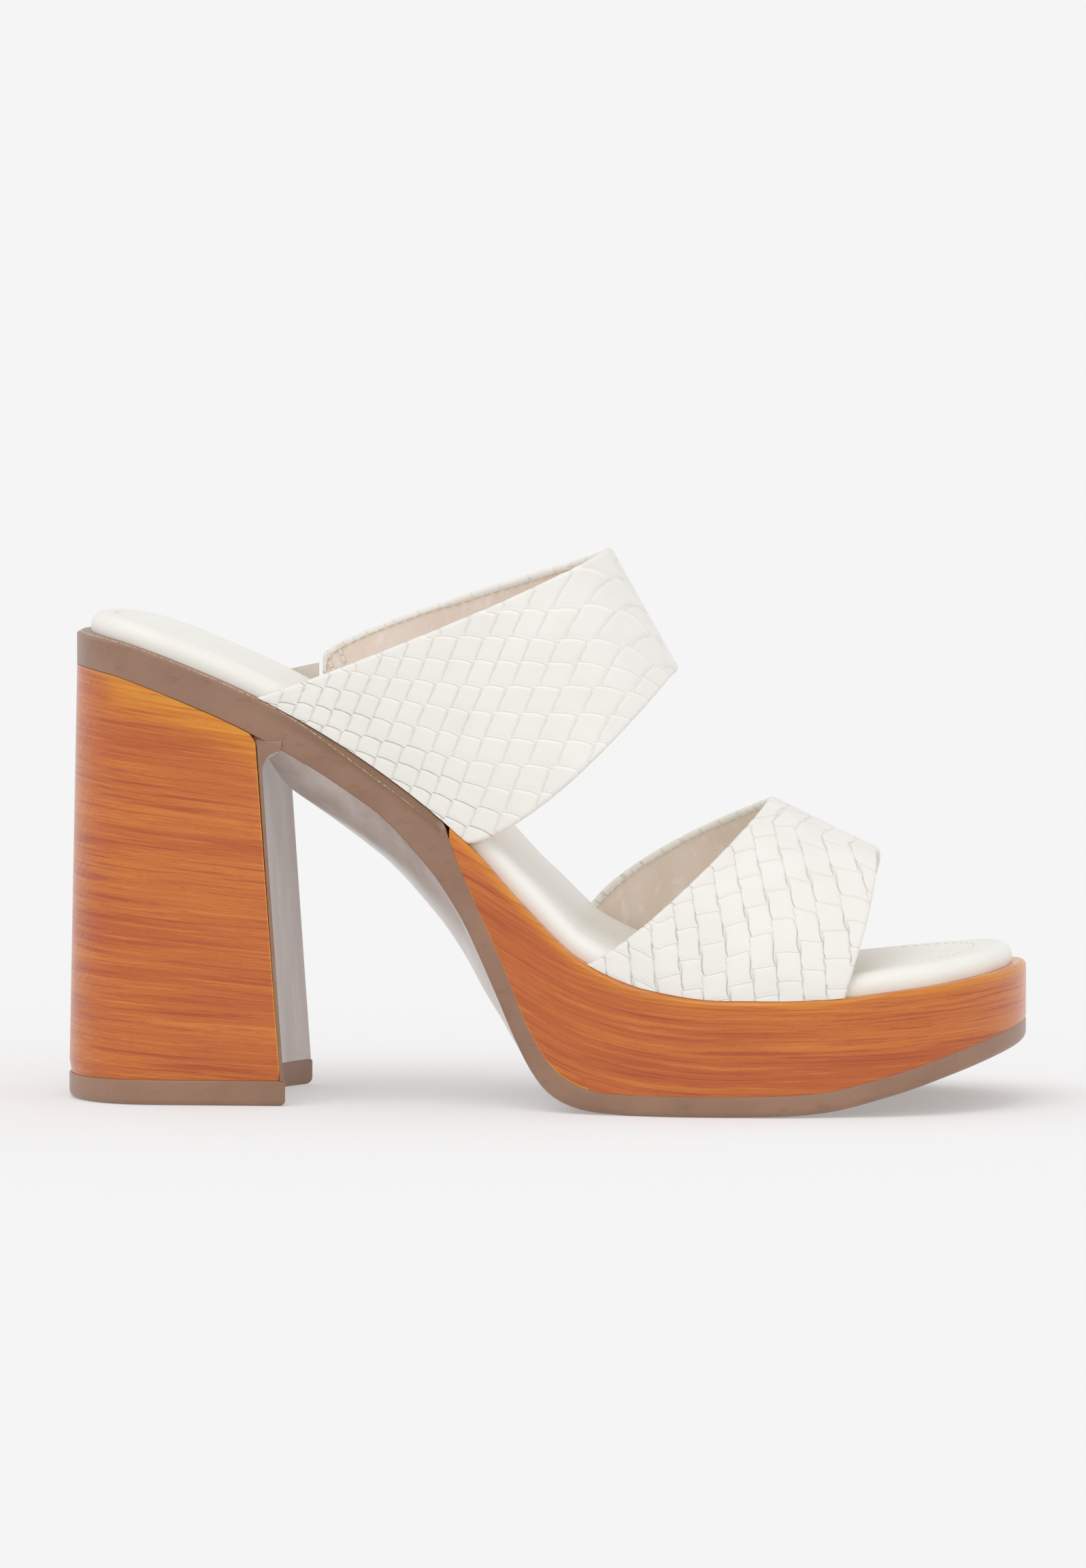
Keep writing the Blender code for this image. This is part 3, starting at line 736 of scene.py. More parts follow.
def strap(name, node, table, rise, scales, leather, lining, deep_heights):
    """Strap wall: scaled outside, turned rounded edges, and a lining set a little back inside."""
    steps = np.linspace(0.0, 1.0, STRAP_ROWS + 1)
    line = np.concatenate([steps[:-1], [STRAP_END], np.ones(STRAP_END_ROWS)])
    left = np.concatenate([np.ones(STRAP_ROWS + 1), np.linspace(1.0, 0.0, STRAP_END_ROWS + 1)[1:]])
    across = line[:, None] * np.ones((1, STRAP_COLUMNS + 1))
    upright = left[:, None] * np.ones((1, STRAP_COLUMNS + 1))
    width = np.linalg.norm(strap_face(table, rise, np.array([0.5]), np.array([1.0]))
                           - strap_face(table, rise, np.array([0.5]), np.array([0.0])))
    margin = STRAP / 2 / max(width, 20 * MM)
    edges = np.linspace(margin, 1 - margin, STRAP_COLUMNS + 1)[None, :] * np.ones((len(line), 1))
    face = strap_face(table, rise, across, edges, upright)
    along = np.gradient(face, axis=0)
    wide = np.gradient(face, axis=1)
    normal = np.cross(wide, along)
    normal /= np.linalg.norm(normal, axis=2)[..., None]
    spread = wide / np.linalg.norm(wide, axis=2)[..., None]
    row, column = lattice(face, scales)
    _, to_side, within = scale_cells(row, column, scales)
    crown = np.minimum(ease(within, 0.0, 0.14), fade(within, 0.88, 1.0)) * (0.65 + 0.35 * within)
    relief = RELIEF * (np.minimum(crown, ease(to_side, 0.0, 0.15)) - 1.0)
    from_rear = np.linalg.norm(np.diff(face, axis=1, prepend=face[:, :1]), axis=2)
    from_front = np.linalg.norm(np.diff(face, axis=1, append=face[:, -1:]), axis=2)
    from_edge = np.minimum(np.cumsum(from_rear, axis=1), np.cumsum(from_front[:, ::-1], axis=1)[:, ::-1])
    under = ease(from_edge, TURNED_EDGE - 0.4 * MM, TURNED_EDGE + 0.1 * MM)
    outside = face + relief[..., None] * normal
    inside = face - (STRAP - LINING_STEP * under)[..., None] * normal
    for end, sign in ((0, 1.0), (-1, -1.0)):
        inside[end] = face[end]
        inside[end, :, 1] += sign * STRAP
        inside[end, :, 2] = rim_height(inside[end, :, 0]) + VISIBLE_GAP
    loops = [outside]
    turns = np.linspace(0.0, math.pi, EDGE_ARC + 2)[1:-1]
    middle = (outside + inside) / 2
    half = (outside - inside) / 2
    reach = np.linalg.norm(half, axis=2)[..., None]

    def arc(edge, sign, angles):
        centre = middle[:, edge][:, None, :]
        return (centre + half[:, edge][:, None, :] * np.cos(angles)[None, :, None]
                + sign * (reach * spread)[:, edge][:, None, :] * np.sin(angles)[None, :, None])

    loops.append(arc(-1, 1.0, turns))
    loops.append(inside[:, ::-1])
    loops.append(arc(0, -1.0, turns[::-1]))
    grid = np.concatenate(loops, axis=1)
    rows, count = grid.shape[:2]
    number = np.arange(rows * count).reshape(rows, count)
    after = np.roll(number, -1, axis=1)
    body = np.stack([number[:-1], number[1:], after[1:], after[:-1]], axis=2).reshape(-1, 4)
    outer_last = STRAP_COLUMNS
    inner_first = outer_last + EDGE_ARC + 1
    caps = []
    for end in (0, -1):
        line = number[end]
        facing = line[inner_first:inner_first + outer_last + 1][::-1]
        pairs = [(line[j], line[j + 1], facing[j + 1], facing[j]) for j in range(outer_last)]
        caps += [pair if end == 0 else pair[::-1] for pair in pairs]
        for first, last in ((outer_last, inner_first), (inner_first + outer_last, count)):
            ring = [int(line[j % count]) for j in range(first, last + 1)]
            caps.append(tuple(ring if end == 0 else ring[::-1]))
    faces = [tuple(int(k) for k in f) for f in body.tolist()] + [tuple(int(k) for k in f) for f in caps]
    item = mesh_object(name, grid.reshape(-1, 3), faces, 55.0, leather, lining)

    def spread_values(values):
        first = np.repeat(values[:, -1:], EDGE_ARC, axis=1)
        last = np.repeat(values[:, :1], EDGE_ARC, axis=1)
        return np.concatenate([values, first, values[:, ::-1], last], axis=1)

    # Share of painted shade in the scales' lines: full close above the sole, none higher up.
    low, high = deep_heights
    deep = fade(face[..., 2] - rim_height(face[..., 0]), low, high)
    give_values(item, row=spread_values(row), column=spread_values(column), deep=spread_values(deep))
    inner = np.zeros((rows - 1, count), dtype=np.int32)
    inner[:, inner_first:inner_first + outer_last + 1] = under[:-1, ::-1] > 0.5
    index = np.concatenate([inner.reshape(-1), np.zeros(len(caps), dtype=np.int32)])
    item.data.polygons.foreach_set("material_index", index)
    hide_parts(node)
    return item, (face, normal, from_edge)


# Stitches inside the straps
STITCH_SPACING = 2.5 * MM
STITCH_LENGTH = 1.9 * MM
STITCH_RADIUS = 0.17 * MM
STITCH_LIFT = 0.02 * MM
STITCH_END_ROWS = 8
STITCH_SMOOTHING = 7


def capsule_rows(name, centres, directions, length, radius, finish):
    """Thread stitches: small rounded rods, one for each centre and direction."""
    points = []
    faces = []
    sides = 6
    profile = ((-0.5, 0.35), (-0.32, 1.0), (0.32, 1.0), (0.5, 0.35))
    turns = np.linspace(0, 2 * math.pi, sides, endpoint=False)
    for centre, direction in zip(centres, directions):
        helper = np.array([0.0, 0.0, 1.0]) if abs(direction[2]) < 0.9 else np.array([1.0, 0.0, 0.0])
        side = np.cross(direction, helper)
        side /= np.linalg.norm(side)
        up = np.cross(direction, side)
        start = len(points)
        for share, size in profile:
            for turn in turns:
                points.append(centre + direction * (share * length)
                              + (side * math.cos(turn) + up * math.sin(turn)) * (radius * size))
        for ring in range(len(profile) - 1):
            below = start + ring * sides + np.arange(sides)
            faces += ring_faces(below, below + sides)
        faces.append(tuple(start + k for k in range(sides))[::-1])
        faces.append(tuple(start + (len(profile) - 1) * sides + k for k in range(sides)))
    return mesh_object(name, np.array(points), faces, 40.0, finish)


def resample(path, spacing):
    """Points and directions at an even spacing along a path."""
    steps = np.linalg.norm(np.diff(path, axis=0), axis=1)
    travel = np.concatenate([[0.0], np.cumsum(steps)])
    wanted = np.arange(spacing, travel[-1] - spacing, spacing)
    points = np.stack([np.interp(wanted, travel, path[:, k]) for k in range(3)], axis=1)
    probe = 0.2 * MM
    ahead = np.stack([np.interp(wanted + probe, travel, path[:, k]) for k in range(3)], axis=1)
    directions = ahead - points
    return points, directions / np.linalg.norm(directions, axis=1)[:, None]


def inside_stitches(name, skin, edge, finish):
    """Stitch line inside a strap, a little way in from one of its long edges."""
    face, normal, from_edge = skin
    inset = TURNED_EDGE - 0.3 * MM
    columns = face.shape[1]
    half = columns // 2
    path = []
    near_edge = np.arange(half) if edge == 0 else np.arange(columns - 1, half, -1)
    for i in range(STITCH_END_ROWS, face.shape[0] - STITCH_END_ROWS):
        j = near_edge[int(np.argmin(np.abs(from_edge[i][near_edge] - inset)))]
        path.append(face[i, j] - normal[i, j] * (STRAP + STITCH_LIFT))
    path = np.array(path)
    kernel = np.ones(STITCH_SMOOTHING) / STITCH_SMOOTHING
    smooth = np.stack([np.convolve(path[:, k], kernel, mode="valid") for k in range(3)], axis=1)
    centres, directions = resample(smooth, STITCH_SPACING)
    return capsule_rows(name, centres, directions, STITCH_LENGTH, STITCH_RADIUS, finish)


# Sole, heel and footbed
SOLE_SPACING = 1.3 * MM
PAD_SPACING = 1.5 * MM
BELLY_POWER = 2.6
HOLLOW_POWER = 2.4
TREAD_START = 0.53 * LENGTH
TREAD_ROUND_START = 0.42
TREAD_ROUND_REACH = 0.08
TREAD_ROUND_LEAST = 0.12
UNIT_SEAT_DROP = 0.5 * MM
UNIT_SEAT_INSET = 0.06
# Depth of the bevel in millimetres at the heel, and how much deeper it gets towards the strap
BEVEL_BACK = 1.0
BEVEL_GROWTH = 1.3
# Share of the bevel's depth, and of its inset, from the side up to the rim
BEVEL = ((1.0, 0.0), (0.93, 0.10), (0.5, 0.42), (0.12, 0.8), (0.0, 1.0))
TAIL_SEAM_END = 0.56 * LENGTH
TAIL_EASE = 0.1 * MM
HEEL_CORNER = 1.5 * MM
SHOWN_FACING = 0.85 * MM
ARCH_FILLET = 5.0 * MM
HEEL_LEVELS = 34
HEEL_ROUND_PLACES = 30
HEEL_FLAT_PLACES = 14
HEEL_EASE = 0.5 * MM
HEEL_EASE_SHARE = 0.012
WALL_LEVELS = 64
WALL_TUCK = 1.2 * MM
LIFT_EASE = 0.25 * MM
PAD_SKIRT = 0.18
PAD_SIDE_POWER = 0.9
CUP_END = 0.36
# Inset past the pad's rounded edge, and depth there
SEAM_GROOVE = ((0.35 * MM, 0.16 * MM), (0.75 * MM, 0.04 * MM), (1.6 * MM, 0.0))
PAD_INSET = STRAP_INSET + STRAP + CLEARANCE * 1.3
TOE_STITCH_START = 196.0 * MM
TOE_STITCH_INSET = 5.0 * MM
TOE_STITCH_SPACING = 3.0 * MM
TOE_STITCH_LENGTH = 1.6 * MM
TOE_STITCH_RADIUS = 0.16 * MM
GORE_RIB = 0.12 * MM
GORE_RIB_SPACING = 0.62 * MM
GORE_COLUMNS = 120
GORE_LEVELS = 16
# Millimetres from an edge that put a point past all of its material's edge lines
FAR = 9.0

# Places of the thread knots: along the strap from its inner rear foot, and above the rim there
TACKS = [(2.4 * MM, 12.4 * MM), (2.9 * MM, 10.6 * MM), (3.4 * MM, 8.8 * MM),
         (4.6 * MM, 15.2 * MM), (5.3 * MM, 13.4 * MM), (5.9 * MM, 11.6 * MM)]
KNOT_LENGTH = 1.5 * MM
KNOT_RADIUS = 0.42 * MM
KNOT_LIFT = 0.15 * MM
KNOT_DIRECTION = np.array([0.35, 0.0, -0.94])


def underside(x, across):
    """Height of the sole's underside at x and at a share of the half width."""
    depth = curve(SHANK, "place", "depth", x / LENGTH) * BELLY
    return tread_height(x) - depth * (1 - np.abs(across) ** BELLY_POWER)


def sole_unit(finish, under_finish):
    """Moulded unit with its seat band, bevelled rim, shank with its convex underside, and tread."""
    tail = TAIL["place"][0] * LENGTH
    places = sole_places(0.0, LENGTH, SOLE_SPACING)
    columns = 36
    bevel_drop = (BEVEL_BACK + BEVEL_GROWTH * ease(places, 50 * MM, 78 * MM)) * MM

    def top(x):
        return np.where(x < tail, rim_height(x), platform_bottom(x) - VISIBLE_GAP)

    share = (places / LENGTH - TREAD_ROUND_START) / TREAD_ROUND_REACH
    rounding = TREAD_ROUND * np.clip(share, TREAD_ROUND_LEAST, 1.0)
    drop = np.where(places < tail, bevel_drop, UNIT_SEAT_DROP)
    grids = []
    for turn in np.linspace(0.0, math.pi / 2, 5):
        plan = outline_grid(places, rounding * (1 - math.sin(turn)), columns)
        lift = (rounding * (1 - math.cos(turn)))[:, None]
        z = tread_height(plan[..., 0]) + lift
        if turn == 0.0:
            z = underside(plan[..., 0], np.linspace(-1.0, 1.0, columns + 1)[None, :])
        grids.append(raise_grid(plan, z))
    side = outline_grid(places, 0.0, columns)
    low = tread_height(side[..., 0]) + rounding[:, None]
    high = top(side[..., 0]) - drop[:, None]
    for share in (0.33, 0.66):
        grids.append(raise_grid(side, low + (high - low) * share))
    for share, inset in BEVEL:
        reach = inset * RIM_ROUND * np.where(places < tail, 1.0, UNIT_SEAT_INSET)
        plan = outline_grid(places, reach, columns)
        z = top(plan[..., 0]) - drop[:, None] * share
        grids.append(raise_grid(plan, z))
    item = stacked("sole_unit", grids, 32.0, finish, under_finish)
    points = points_of(item)
    x, z = points[:, 0], points[:, 2]
    below = np.where(x < tail, (rim_height(x) - z) / MM, FAR)
    above = (z - tread_height(x)) / MM + FAR * (x > TREAD_START)
    give_values(item, below_rim=below, forward=x / MM, above_low=above)
    index = np.zeros(len(item.data.polygons), dtype=np.int32)
    rows = len(places) - 1
    middle = (places[:-1] + places[1:]) / 2
    index[:rows * columns] = np.repeat(middle < TREAD_START, columns)
    item.data.polygons.foreach_set("material_index", index)
    return item


def breast(x_share, height_share):
    """X along the heel block from its back to its breast, at a share of the heel's height."""
    back = HEEL_RAKE * height_share
    front = BREAST_BOTTOM + (BREAST_TOP - BREAST_BOTTOM) * height_share
    return back + (front - back) * x_share


def heel_plan(height_share, grow, front_extra, columns):
    """Plan grid of the heel at a share of its height, hollowed at the breast."""
    angles = np.linspace(math.radians(3), math.pi / 2, HEEL_ROUND_PLACES)
    back = breast(0.0, height_share) - grow
    front = breast(1.0, height_share) + front_extra
    end = HEEL_END * LENGTH + grow
    flat = np.linspace(back + end, front, HEEL_FLAT_PLACES)[1:]
    places = np.concatenate([back + end * (1 - np.cos(angles)), flat])
    side = HEEL_WIDTH / 2 * superellipse((places - back) / end, HEEL_END_POWER) + grow
    across = np.linspace(-1.0, 1.0, columns + 1)
    hollow = BREAST_HOLLOW * (1 - np.abs(across) ** HOLLOW_POWER)
    forward = np.clip((places - back - end) / (front - back - end), 0.0, 1.0)
    x = places[:, None] - hollow[None, :] * forward[:, None]
    y = side[:, None] * across[None, :]
    return np.stack([x, y], axis=2)


def heel_top(x):
    past = np.clip(x - (BREAST_TOP - HEEL_CORNER), 0.0, HEEL_CORNER)
    drop = HEEL_CORNER - np.sqrt(HEEL_CORNER ** 2 - past ** 2)
    return band_bottom(x) - VISIBLE_GAP - drop


def heel_shell(finish):
    """Wood-look heel body, with its corners eased."""
    bottom = LIFT + VISIBLE_GAP
    columns = 36
    grids = []
    for level in np.linspace(0.0, 1.0, HEEL_LEVELS):
        low_inset = HEEL_EASE * max(0.0, 1 - level / HEEL_EASE_SHARE)
        plan = heel_plan(level, -low_inset, -low_inset, columns)
        z = bottom + (heel_top(plan[..., 0]) - bottom) * level
        grids.append(raise_grid(plan, z))
    item = stacked("heel_shell", grids, 50.0, finish)
    x, y, z = points_of(item).T
    slope = 0.07 + 0.09 * z / SEAT_HEIGHT
    share = (z - bottom) / (heel_top(x) - bottom)
    give_values(item, grain_along=x + 0.6 * np.abs(y), grain_across=z + slope * x,
                to_edge=(breast(1.0, share) - x) / MM, to_top=(heel_top(x) - z) / MM,
                glow=ease(x, 4 * MM, 20 * MM), ridge=fade(x, 5 * MM, 17 * MM))
    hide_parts("heel_block")
    return item


def clear_of_edges(item):
    """Numbers that keep the brown unit's edge lines off a piece."""
    count = len(item.data.vertices)
    give_values(item, below_rim=np.full(count, FAR), above_low=np.full(count, FAR), forward=np.zeros(count))


def breast_wall(finish, under_finish):
    """Curved brown wall down the front of the heel."""
    columns = 48
    behind = SHOWN_FACING - VISIBLE_GAP
    bottom = LIFT + VISIBLE_GAP
    across = np.linspace(-1.0, 1.0, columns + 1)
    front_rows = []
    back_rows = []
    for level in 1.0 - np.linspace(1.0, 0.0, WALL_LEVELS) ** 1.6:
        plan = heel_plan(level, 0.0, SHOWN_FACING, columns)[-1]
        top = band_bottom(plan[:, 0]) + BAND / 2
        z = bottom + (top - bottom) * level
        roof = underside(plan[:, 0] + ARCH_FILLET, across)
        climb = np.clip((z - roof + ARCH_FILLET) / ARCH_FILLET, 0.0, 1.0)
        forward = ARCH_FILLET * (1 - np.sqrt(1 - climb ** 2))
        tuck = ease(z - band_bottom(plan[:, 0]), -0.6 * MM, 0.3 * MM) * WALL_TUCK
        outer = half_width(plan[:, 0], "outer") - tuck
        inner = half_width(plan[:, 0], "inner") - tuck
        side = np.where(tuck > 0, np.clip(plan[:, 1], -outer, inner), plan[:, 1])
        back_rows.append(np.column_stack([plan[:, 0] - behind, side, z]))
        front_rows.append(np.column_stack([plan[:, 0] + forward, side, z]))
    grids = [np.array(back_rows), np.array(front_rows)]
    item = stacked("breast_wall", grids, 50.0, finish, under_finish)
    clear_of_edges(item)
    index = np.zeros(len(item.data.polygons), dtype=np.int32)
    index[-(WALL_LEVELS - 1) * columns:] = 1
    item.data.polygons.foreach_set("material_index", index)
    return item


def lift_plate(finish):
    columns = 36

    def level(inset, z):
        return raise_grid(heel_plan(0.0, -inset, SHOWN_FACING + 0.35 * MM - inset, columns), z)

    grids = []
    for turn in np.linspace(0.0, math.pi / 2, 6):
        grids.append(level(LIFT_ROUND * (1 - math.sin(turn)), LIFT_ROUND * (1 - math.cos(turn))))
    grids.append(level(0.0, LIFT - LIFT_EASE))
    grids.append(level(LIFT_EASE, LIFT))
    item = stacked("lift_plate", grids, 32.0, finish)
    clear_of_edges(item)
    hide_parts("top_lift")
    return item


def platform_shell(finish):
    """Wood-look forefoot block with a rounded top rim and its pointed tail on the shank."""
    tail = TAIL["place"][0] * LENGTH
    places = sole_places(tail + 1.5 * MM, LENGTH, SOLE_SPACING)
    columns = 24
    side = outline_grid(places, 0.0, columns)
    low = platform_bottom(side[..., 0])
    high = np.maximum(rim_height(side[..., 0]) - RIM_ROUND, low + TAIL_EASE)
    eased = outline_grid(places, TAIL_EASE, columns)
    grids = [raise_grid(eased, platform_bottom)]
    for share in (0.06, 0.3, 0.55, 0.8):
        grids.append(raise_grid(side, low + (high - low) * share))
    for turn in np.linspace(0.0, math.pi / 2, 7):
        plan = outline_grid(places, RIM_ROUND * (1 - math.cos(turn)), columns)
        top = rim_height(plan[..., 0]) - RIM_ROUND * (1 - math.sin(turn))
        low_here = platform_bottom(plan[..., 0]) + TAIL_EASE
        grids.append(raise_grid(plan, np.maximum(top, low_here)))
    item = stacked("platform_shell", grids, 50.0, finish)
    x, _, z = points_of(item).T
    rim = rim_height(x)
    give_values(item, grain_along=x, grain_across=z - 0.55 * (rim - PLATFORM_HEIGHT),
                to_edge=(z - platform_bottom(x)) / MM + FAR * (x > TAIL_SEAM_END),
                to_top=(rim - z) / MM, glow=np.ones(len(x)), ridge=ease(x, 0.95 * LENGTH, LENGTH))
    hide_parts("platform")
    return item


def footbed(finish):
    """Padded footbed with a full rounded edge and a shallow heel cup."""
    places = sole_places(0.0, LENGTH, PAD_SPACING)
    columns = 40

    def level(extra, height):
        plan = outline_grid(places, PAD_INSET + extra, columns)
        return raise_grid(plan, lambda x: rim_height(x) + height * slope_factor(rim_height, x))

    grids = [level(0.0, VISIBLE_GAP)]
    for turn in np.linspace(0.0, math.pi / 2, 12):
        low = PAD * PAD_SKIRT
        climb = math.sin(turn) ** PAD_SIDE_POWER
        grids.append(level(PAD_ROUND * (1 - math.cos(turn)), low + (PAD - low) * climb))
    for extra, sunk in SEAM_GROOVE:
        grids.append(level(PAD_ROUND + extra, PAD - sunk))
    top = grids[-1]
    across = np.linspace(-1.0, 1.0, columns + 1)[None, :]
    cup = np.clip(1 - top[..., 0] / (CUP_END * LENGTH), 0.0, 1.0) ** 0.5
    top[..., 2] -= PAD_CUP * cup * (1 - np.abs(across) ** 2)
    item = stacked("footbed", grids, 60.0, finish)
    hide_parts("insole")
    return item


def toe_stitches(name, finish):
    """Stitch line on the footbed, round the toe."""
    places = sole_places(TOE_STITCH_START, LENGTH, PAD_SPACING)
    plan = outline_grid(places, PAD_INSET + PAD_ROUND + TOE_STITCH_INSET, 1)
    loop = np.concatenate([plan[:, 0], plan[::-1, 1]])
    path = np.column_stack([loop, rim_height(loop[:, 0]) + PAD * slope_factor(rim_height, loop[:, 0])])
    centres, directions = resample(path, TOE_STITCH_SPACING)
    return capsule_rows(name, centres, directions, TOE_STITCH_LENGTH, TOE_STITCH_RADIUS, finish)


def elastic(finish):
    """Ribbed elastic that runs back and down from the back strap's cut inner end to the sole's rim."""
    foot_x = BACK_STRAP["inner"][0] * LENGTH - 2 * CLEARANCE
    places = np.linspace(foot_x - GORE_LENGTH, foot_x, GORE_COLUMNS)
    tops = rim_height(places) + np.linspace(GORE_REAR_HEIGHT, GORE_HEIGHT, len(places))
    levels = np.linspace(0.0, 1.0, GORE_LEVELS)
    ribs = GORE_RIB * np.abs(np.sin((places - places[0]) * (math.pi / GORE_RIB_SPACING)))
    faces = []
    for depth, sign in ((GORE, -1.0), (0.0, 1.0)):
        y = half_width(places, "inner") - STRAP_INSET - depth + sign * (ribs - GORE_RIB)
        low = rim_height(places) + CLEARANCE
        z = low[:, None] + (tops - low)[:, None] * levels[None, :]
        grid = np.stack([places[:, None] + 0 * z, y[:, None] + 0 * z, z], axis=2)
        faces.append(grid)
    item = stacked("ribbed_elastic", faces, 60.0, finish)
    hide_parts("elastic_gore")
    return item


def bar_tacks(name, skin, finish):
    """Two rows of raised thread knots inside the back strap's inner rear end."""
    face, normal, _ = skin
    centres = []
    directions = []
    foot_x = BACK_STRAP["inner"][0] * LENGTH
    middle = face.shape[0] // 2
    inner = face[middle:]
    for along, lift in TACKS:
        x, z = foot_x + along, rim_height(foot_x) + lift
        off = (inner[..., 0] - x) ** 2 + (inner[..., 2] - z) ** 2
        i, j = np.unravel_index(int(np.argmin(off)), off.shape)
        centres.append(inner[i, j] - normal[middle + i, j] * (STRAP + KNOT_LIFT))
        directions.append(KNOT_DIRECTION)
    return capsule_rows(name, centres, directions, KNOT_LENGTH, KNOT_RADIUS, finish)


# The shoe

rubber = sole_rubber("sole_rubber", False)
pale_painted_glossy_rubber = sole_rubber("glossy_underside_painted_pale", True)
heel_wood = wood("heel_wood", 0.38, 12.0, 0.75)
platform_wood = wood("platform_wood", 0.5, 4.0, 0.6)
back_leather = strap_leather("back_strap_leather", BACK_SCALES, True)
front_leather = strap_leather("front_strap_leather", FRONT_SCALES, False)
lining = lining_leather()
footbed_finish = footbed_leather()
thread = plain_thread("cream_thread", (0.72, 0.66, 0.58), 0.7)
toe_thread = plain_thread("toe_thread", (0.80, 0.77, 0.70), 0.6)
knot_thread = plain_thread("knot_thread", (0.90, 0.86, 0.78), 0.6)
ribbed = plain_thread("ribbed_elastic", (0.80, 0.74, 0.66), 0.8)

back_strap, back_skin = strap("back_strap_skin", "strap_back", BACK_STRAP, BACK_STRAP_RISE, BACK_SCALES,
                              back_leather, lining, (7 * MM, 22 * MM))
front_strap, front_skin = strap("front_strap_skin", "strap_front", FRONT_STRAP, FRONT_STRAP_RISE,
                                FRONT_SCALES, front_leather, lining, (10 * MM, 55 * MM))
unit = sole_unit(rubber, pale_painted_glossy_rubber)
wall = breast_wall(rubber, pale_painted_glossy_rubber)
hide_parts("outsole")
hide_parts("outsole")
heel = heel_shell(heel_wood)
lift = lift_plate(rubber)
block = platform_shell(platform_wood)
pad = footbed(footbed_finish)
toe_row = toe_stitches("footbed_toe_stitches", toe_thread)
gore = elastic(ribbed)
stitches = [
    inside_stitches("back_strap_rear_stitches", back_skin, 0, thread),
    inside_stitches("back_strap_front_stitches", back_skin, 1, thread),
    inside_stitches("front_strap_rear_stitches", front_skin, 0, thread),
    inside_stitches("front_strap_front_stitches", front_skin, 1, thread),
    bar_tacks("back_strap_bar_tacks", back_skin, knot_thread),
]

slots = {
    "cream_strap": [back_strap, front_strap, *stitches],
    "brown_unit": [unit, wall],
    "wood_look": [heel, block],
    "brown_lift": [lift],
    "footbed": [pad, toe_row],
    "elastic": [gore],
}
for slot_name, pieces in slots.items():
    for piece in pieces:
        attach(piece, "root")

# Floor, light and camera

BACKDROP = 0.913
FLOOR_ALBEDO = 0.6
OVERHEAD = 0.74
# Upward parts of a view direction between which the sky goes from the backdrop to overhead
SKY_START = 0.10
SKY_END = 0.55


def floor():
    size = 30.0
    mesh = bpy.data.meshes.new("floor")
    corners = [(-size, -size, 0), (size, -size, 0), (size, size, 0), (-size, size, 0)]
    mesh.from_pydata(corners, [], [(0, 1, 2, 3)])
    item = add_object("floor", mesh)
    made = Finish("pale_floor", 0.9, specular=0.0)
    made.set("Base Color", (FLOOR_ALBEDO, FLOOR_ALBEDO, FLOOR_ALBEDO, 1.0))
    made.set("Emission Color", (1.0, 1.0, 1.0, 1.0))
    made.set("Emission Strength", FLOOR_GLOW)
    item.data.materials.append(made.material)
    return item


def sun(name, azimuth, elevation, strength, angle):
    """Wide soft sun. Azimuth 0 stands behind the camera of a straight side view, 90 at the toe."""
    light = bpy.data.lights.new(name, "SUN")
    light.energy = strength
    light.angle = math.radians(angle)
    item = add_object(name, light)
    a, e = math.radians(azimuth), math.radians(elevation)
    towards = Vector((math.sin(a) * math.cos(e), -math.cos(a) * math.cos(e), math.sin(e)))
    item.rotation_mode = "QUATERNION"
    item.rotation_quaternion = towards.to_track_quat("Z", "Y")
    return strength * math.sin(e) / math.pi


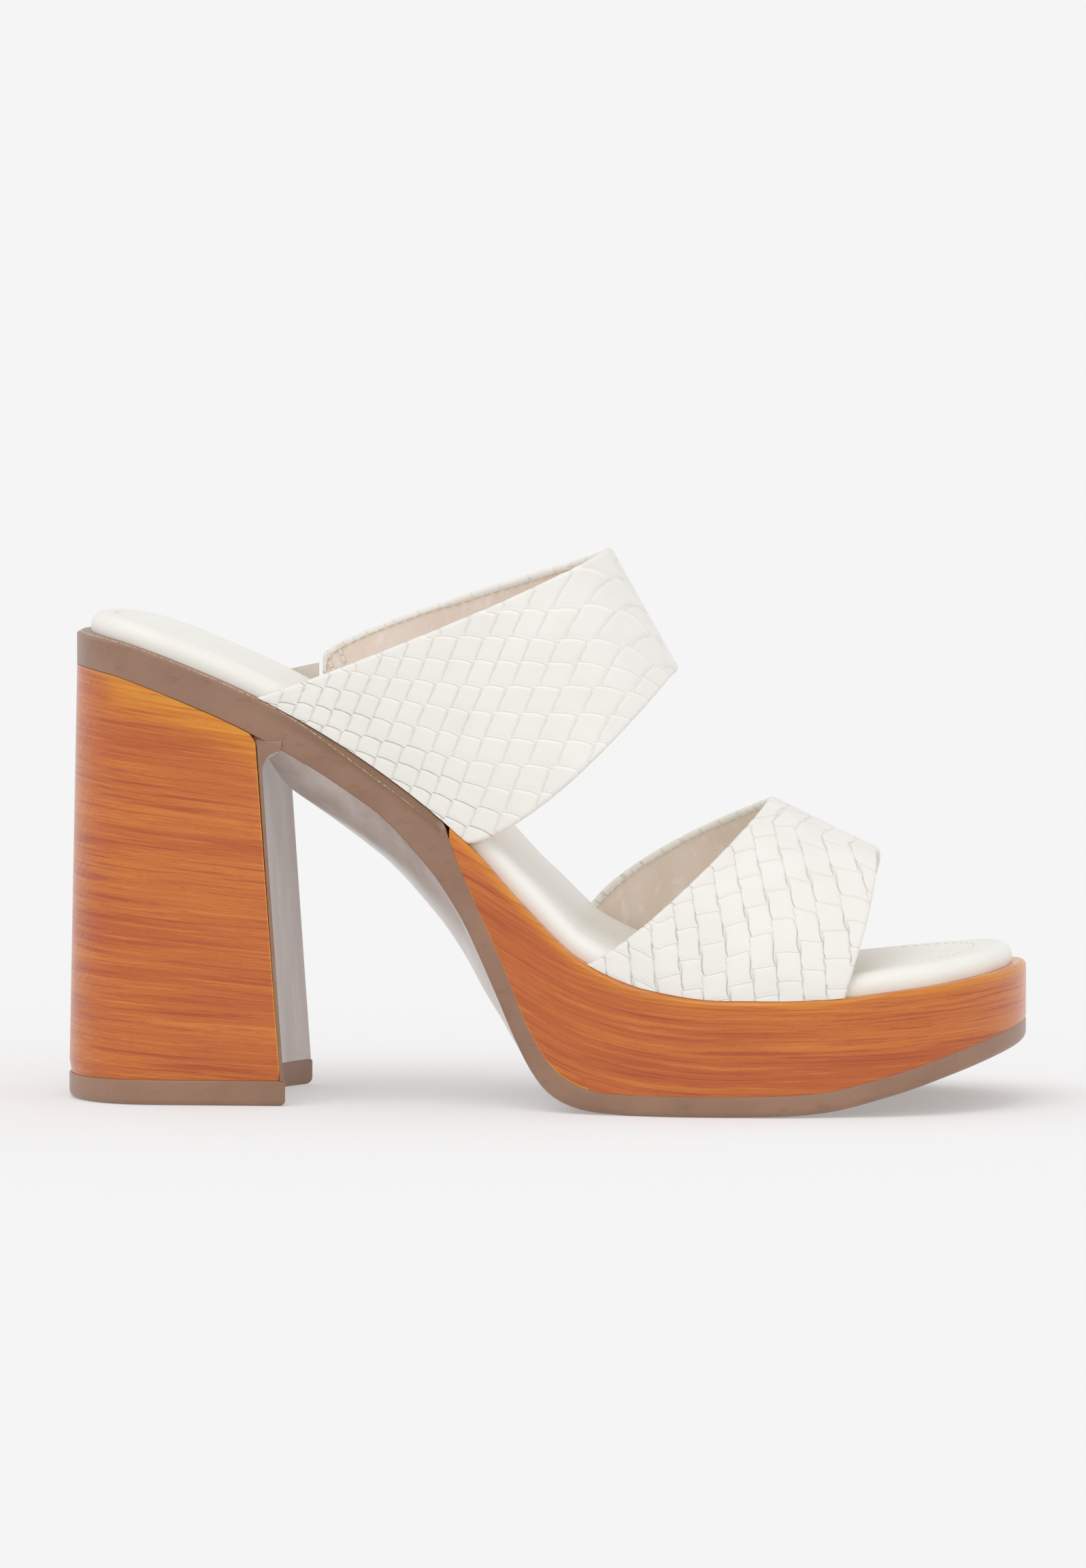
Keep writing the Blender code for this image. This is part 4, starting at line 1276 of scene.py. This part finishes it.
KEY = sun("key", -25.0, 64.0, 0.75, 40.0)
FILL = sun("fill", 50.0, 40.0, 0.2, 70.0)
world = bpy.data.worlds.new("studio")
bpy.context.scene.world = world
world.use_nodes = True
nodes, links = world.node_tree.nodes, world.node_tree.links
background = nodes["Background"]
direction = nodes.new("ShaderNodeTexCoord")
split = nodes.new("ShaderNodeSeparateXYZ")
links.new(direction.outputs["Generated"], split.inputs[0])
ramp = nodes.new("ShaderNodeValToRGB")
ramp.color_ramp.elements[0].position = SKY_START
ramp.color_ramp.elements[0].color = (BACKDROP, BACKDROP, BACKDROP, 1.0)
ramp.color_ramp.elements[1].position = SKY_END
ramp.color_ramp.elements[1].color = (OVERHEAD, OVERHEAD, OVERHEAD, 1.0)
links.new(split.outputs["Z"], ramp.inputs[0])
links.new(ramp.outputs[0], background.inputs[0])
background.inputs[1].default_value = 1.0

# Light that the open sky sends to the floor, worked out for the ramp above
heights = np.linspace(0.0, 1.0, 2001)
sky = np.interp(heights, [SKY_START, SKY_END], [BACKDROP, OVERHEAD])
sky_on_floor = float(np.sum(2 * heights * sky) / len(heights))
FLOOR_GLOW = BACKDROP - FLOOR_ALBEDO * (sky_on_floor + KEY + FILL)
floor()

CAMERA_DISTANCE = 2.2
CAMERA_AZIMUTH = math.radians(5.0)
CAMERA_ELEVATION = math.radians(3.6)
FOCAL_PIXELS = 13420.0
IMAGE_HEIGHT = 2304.0
TARGET = np.array([114.76, 0.0, 64.18]) * MM - CENTRE
TARGET_DOWN_PIXELS = 70.0

a, e = CAMERA_AZIMUTH, CAMERA_ELEVATION
back = Vector((math.sin(a) * math.cos(e), -math.cos(a) * math.cos(e), math.sin(e)))
right = Vector((math.cos(a), math.sin(a), 0.0))
up = back.cross(right)
lens = bpy.data.cameras.new("camera")
lens.sensor_width = 36.0
lens.lens = 36.0 * FOCAL_PIXELS / IMAGE_HEIGHT
lens.clip_start = 0.05
lens.clip_end = 100.0
camera = add_object("camera", lens)
camera.location = Vector(TARGET) + CAMERA_DISTANCE * (back + up * (TARGET_DOWN_PIXELS / FOCAL_PIXELS))
camera.matrix_world = Matrix.Translation(camera.location) @ Matrix((right, up, back)).transposed().to_4x4()
bpy.context.scene.camera = camera
bpy.context.scene.view_settings.view_transform = "Standard"
bpy.context.scene.view_settings.look = "None"

bpy.context.view_layer.update()
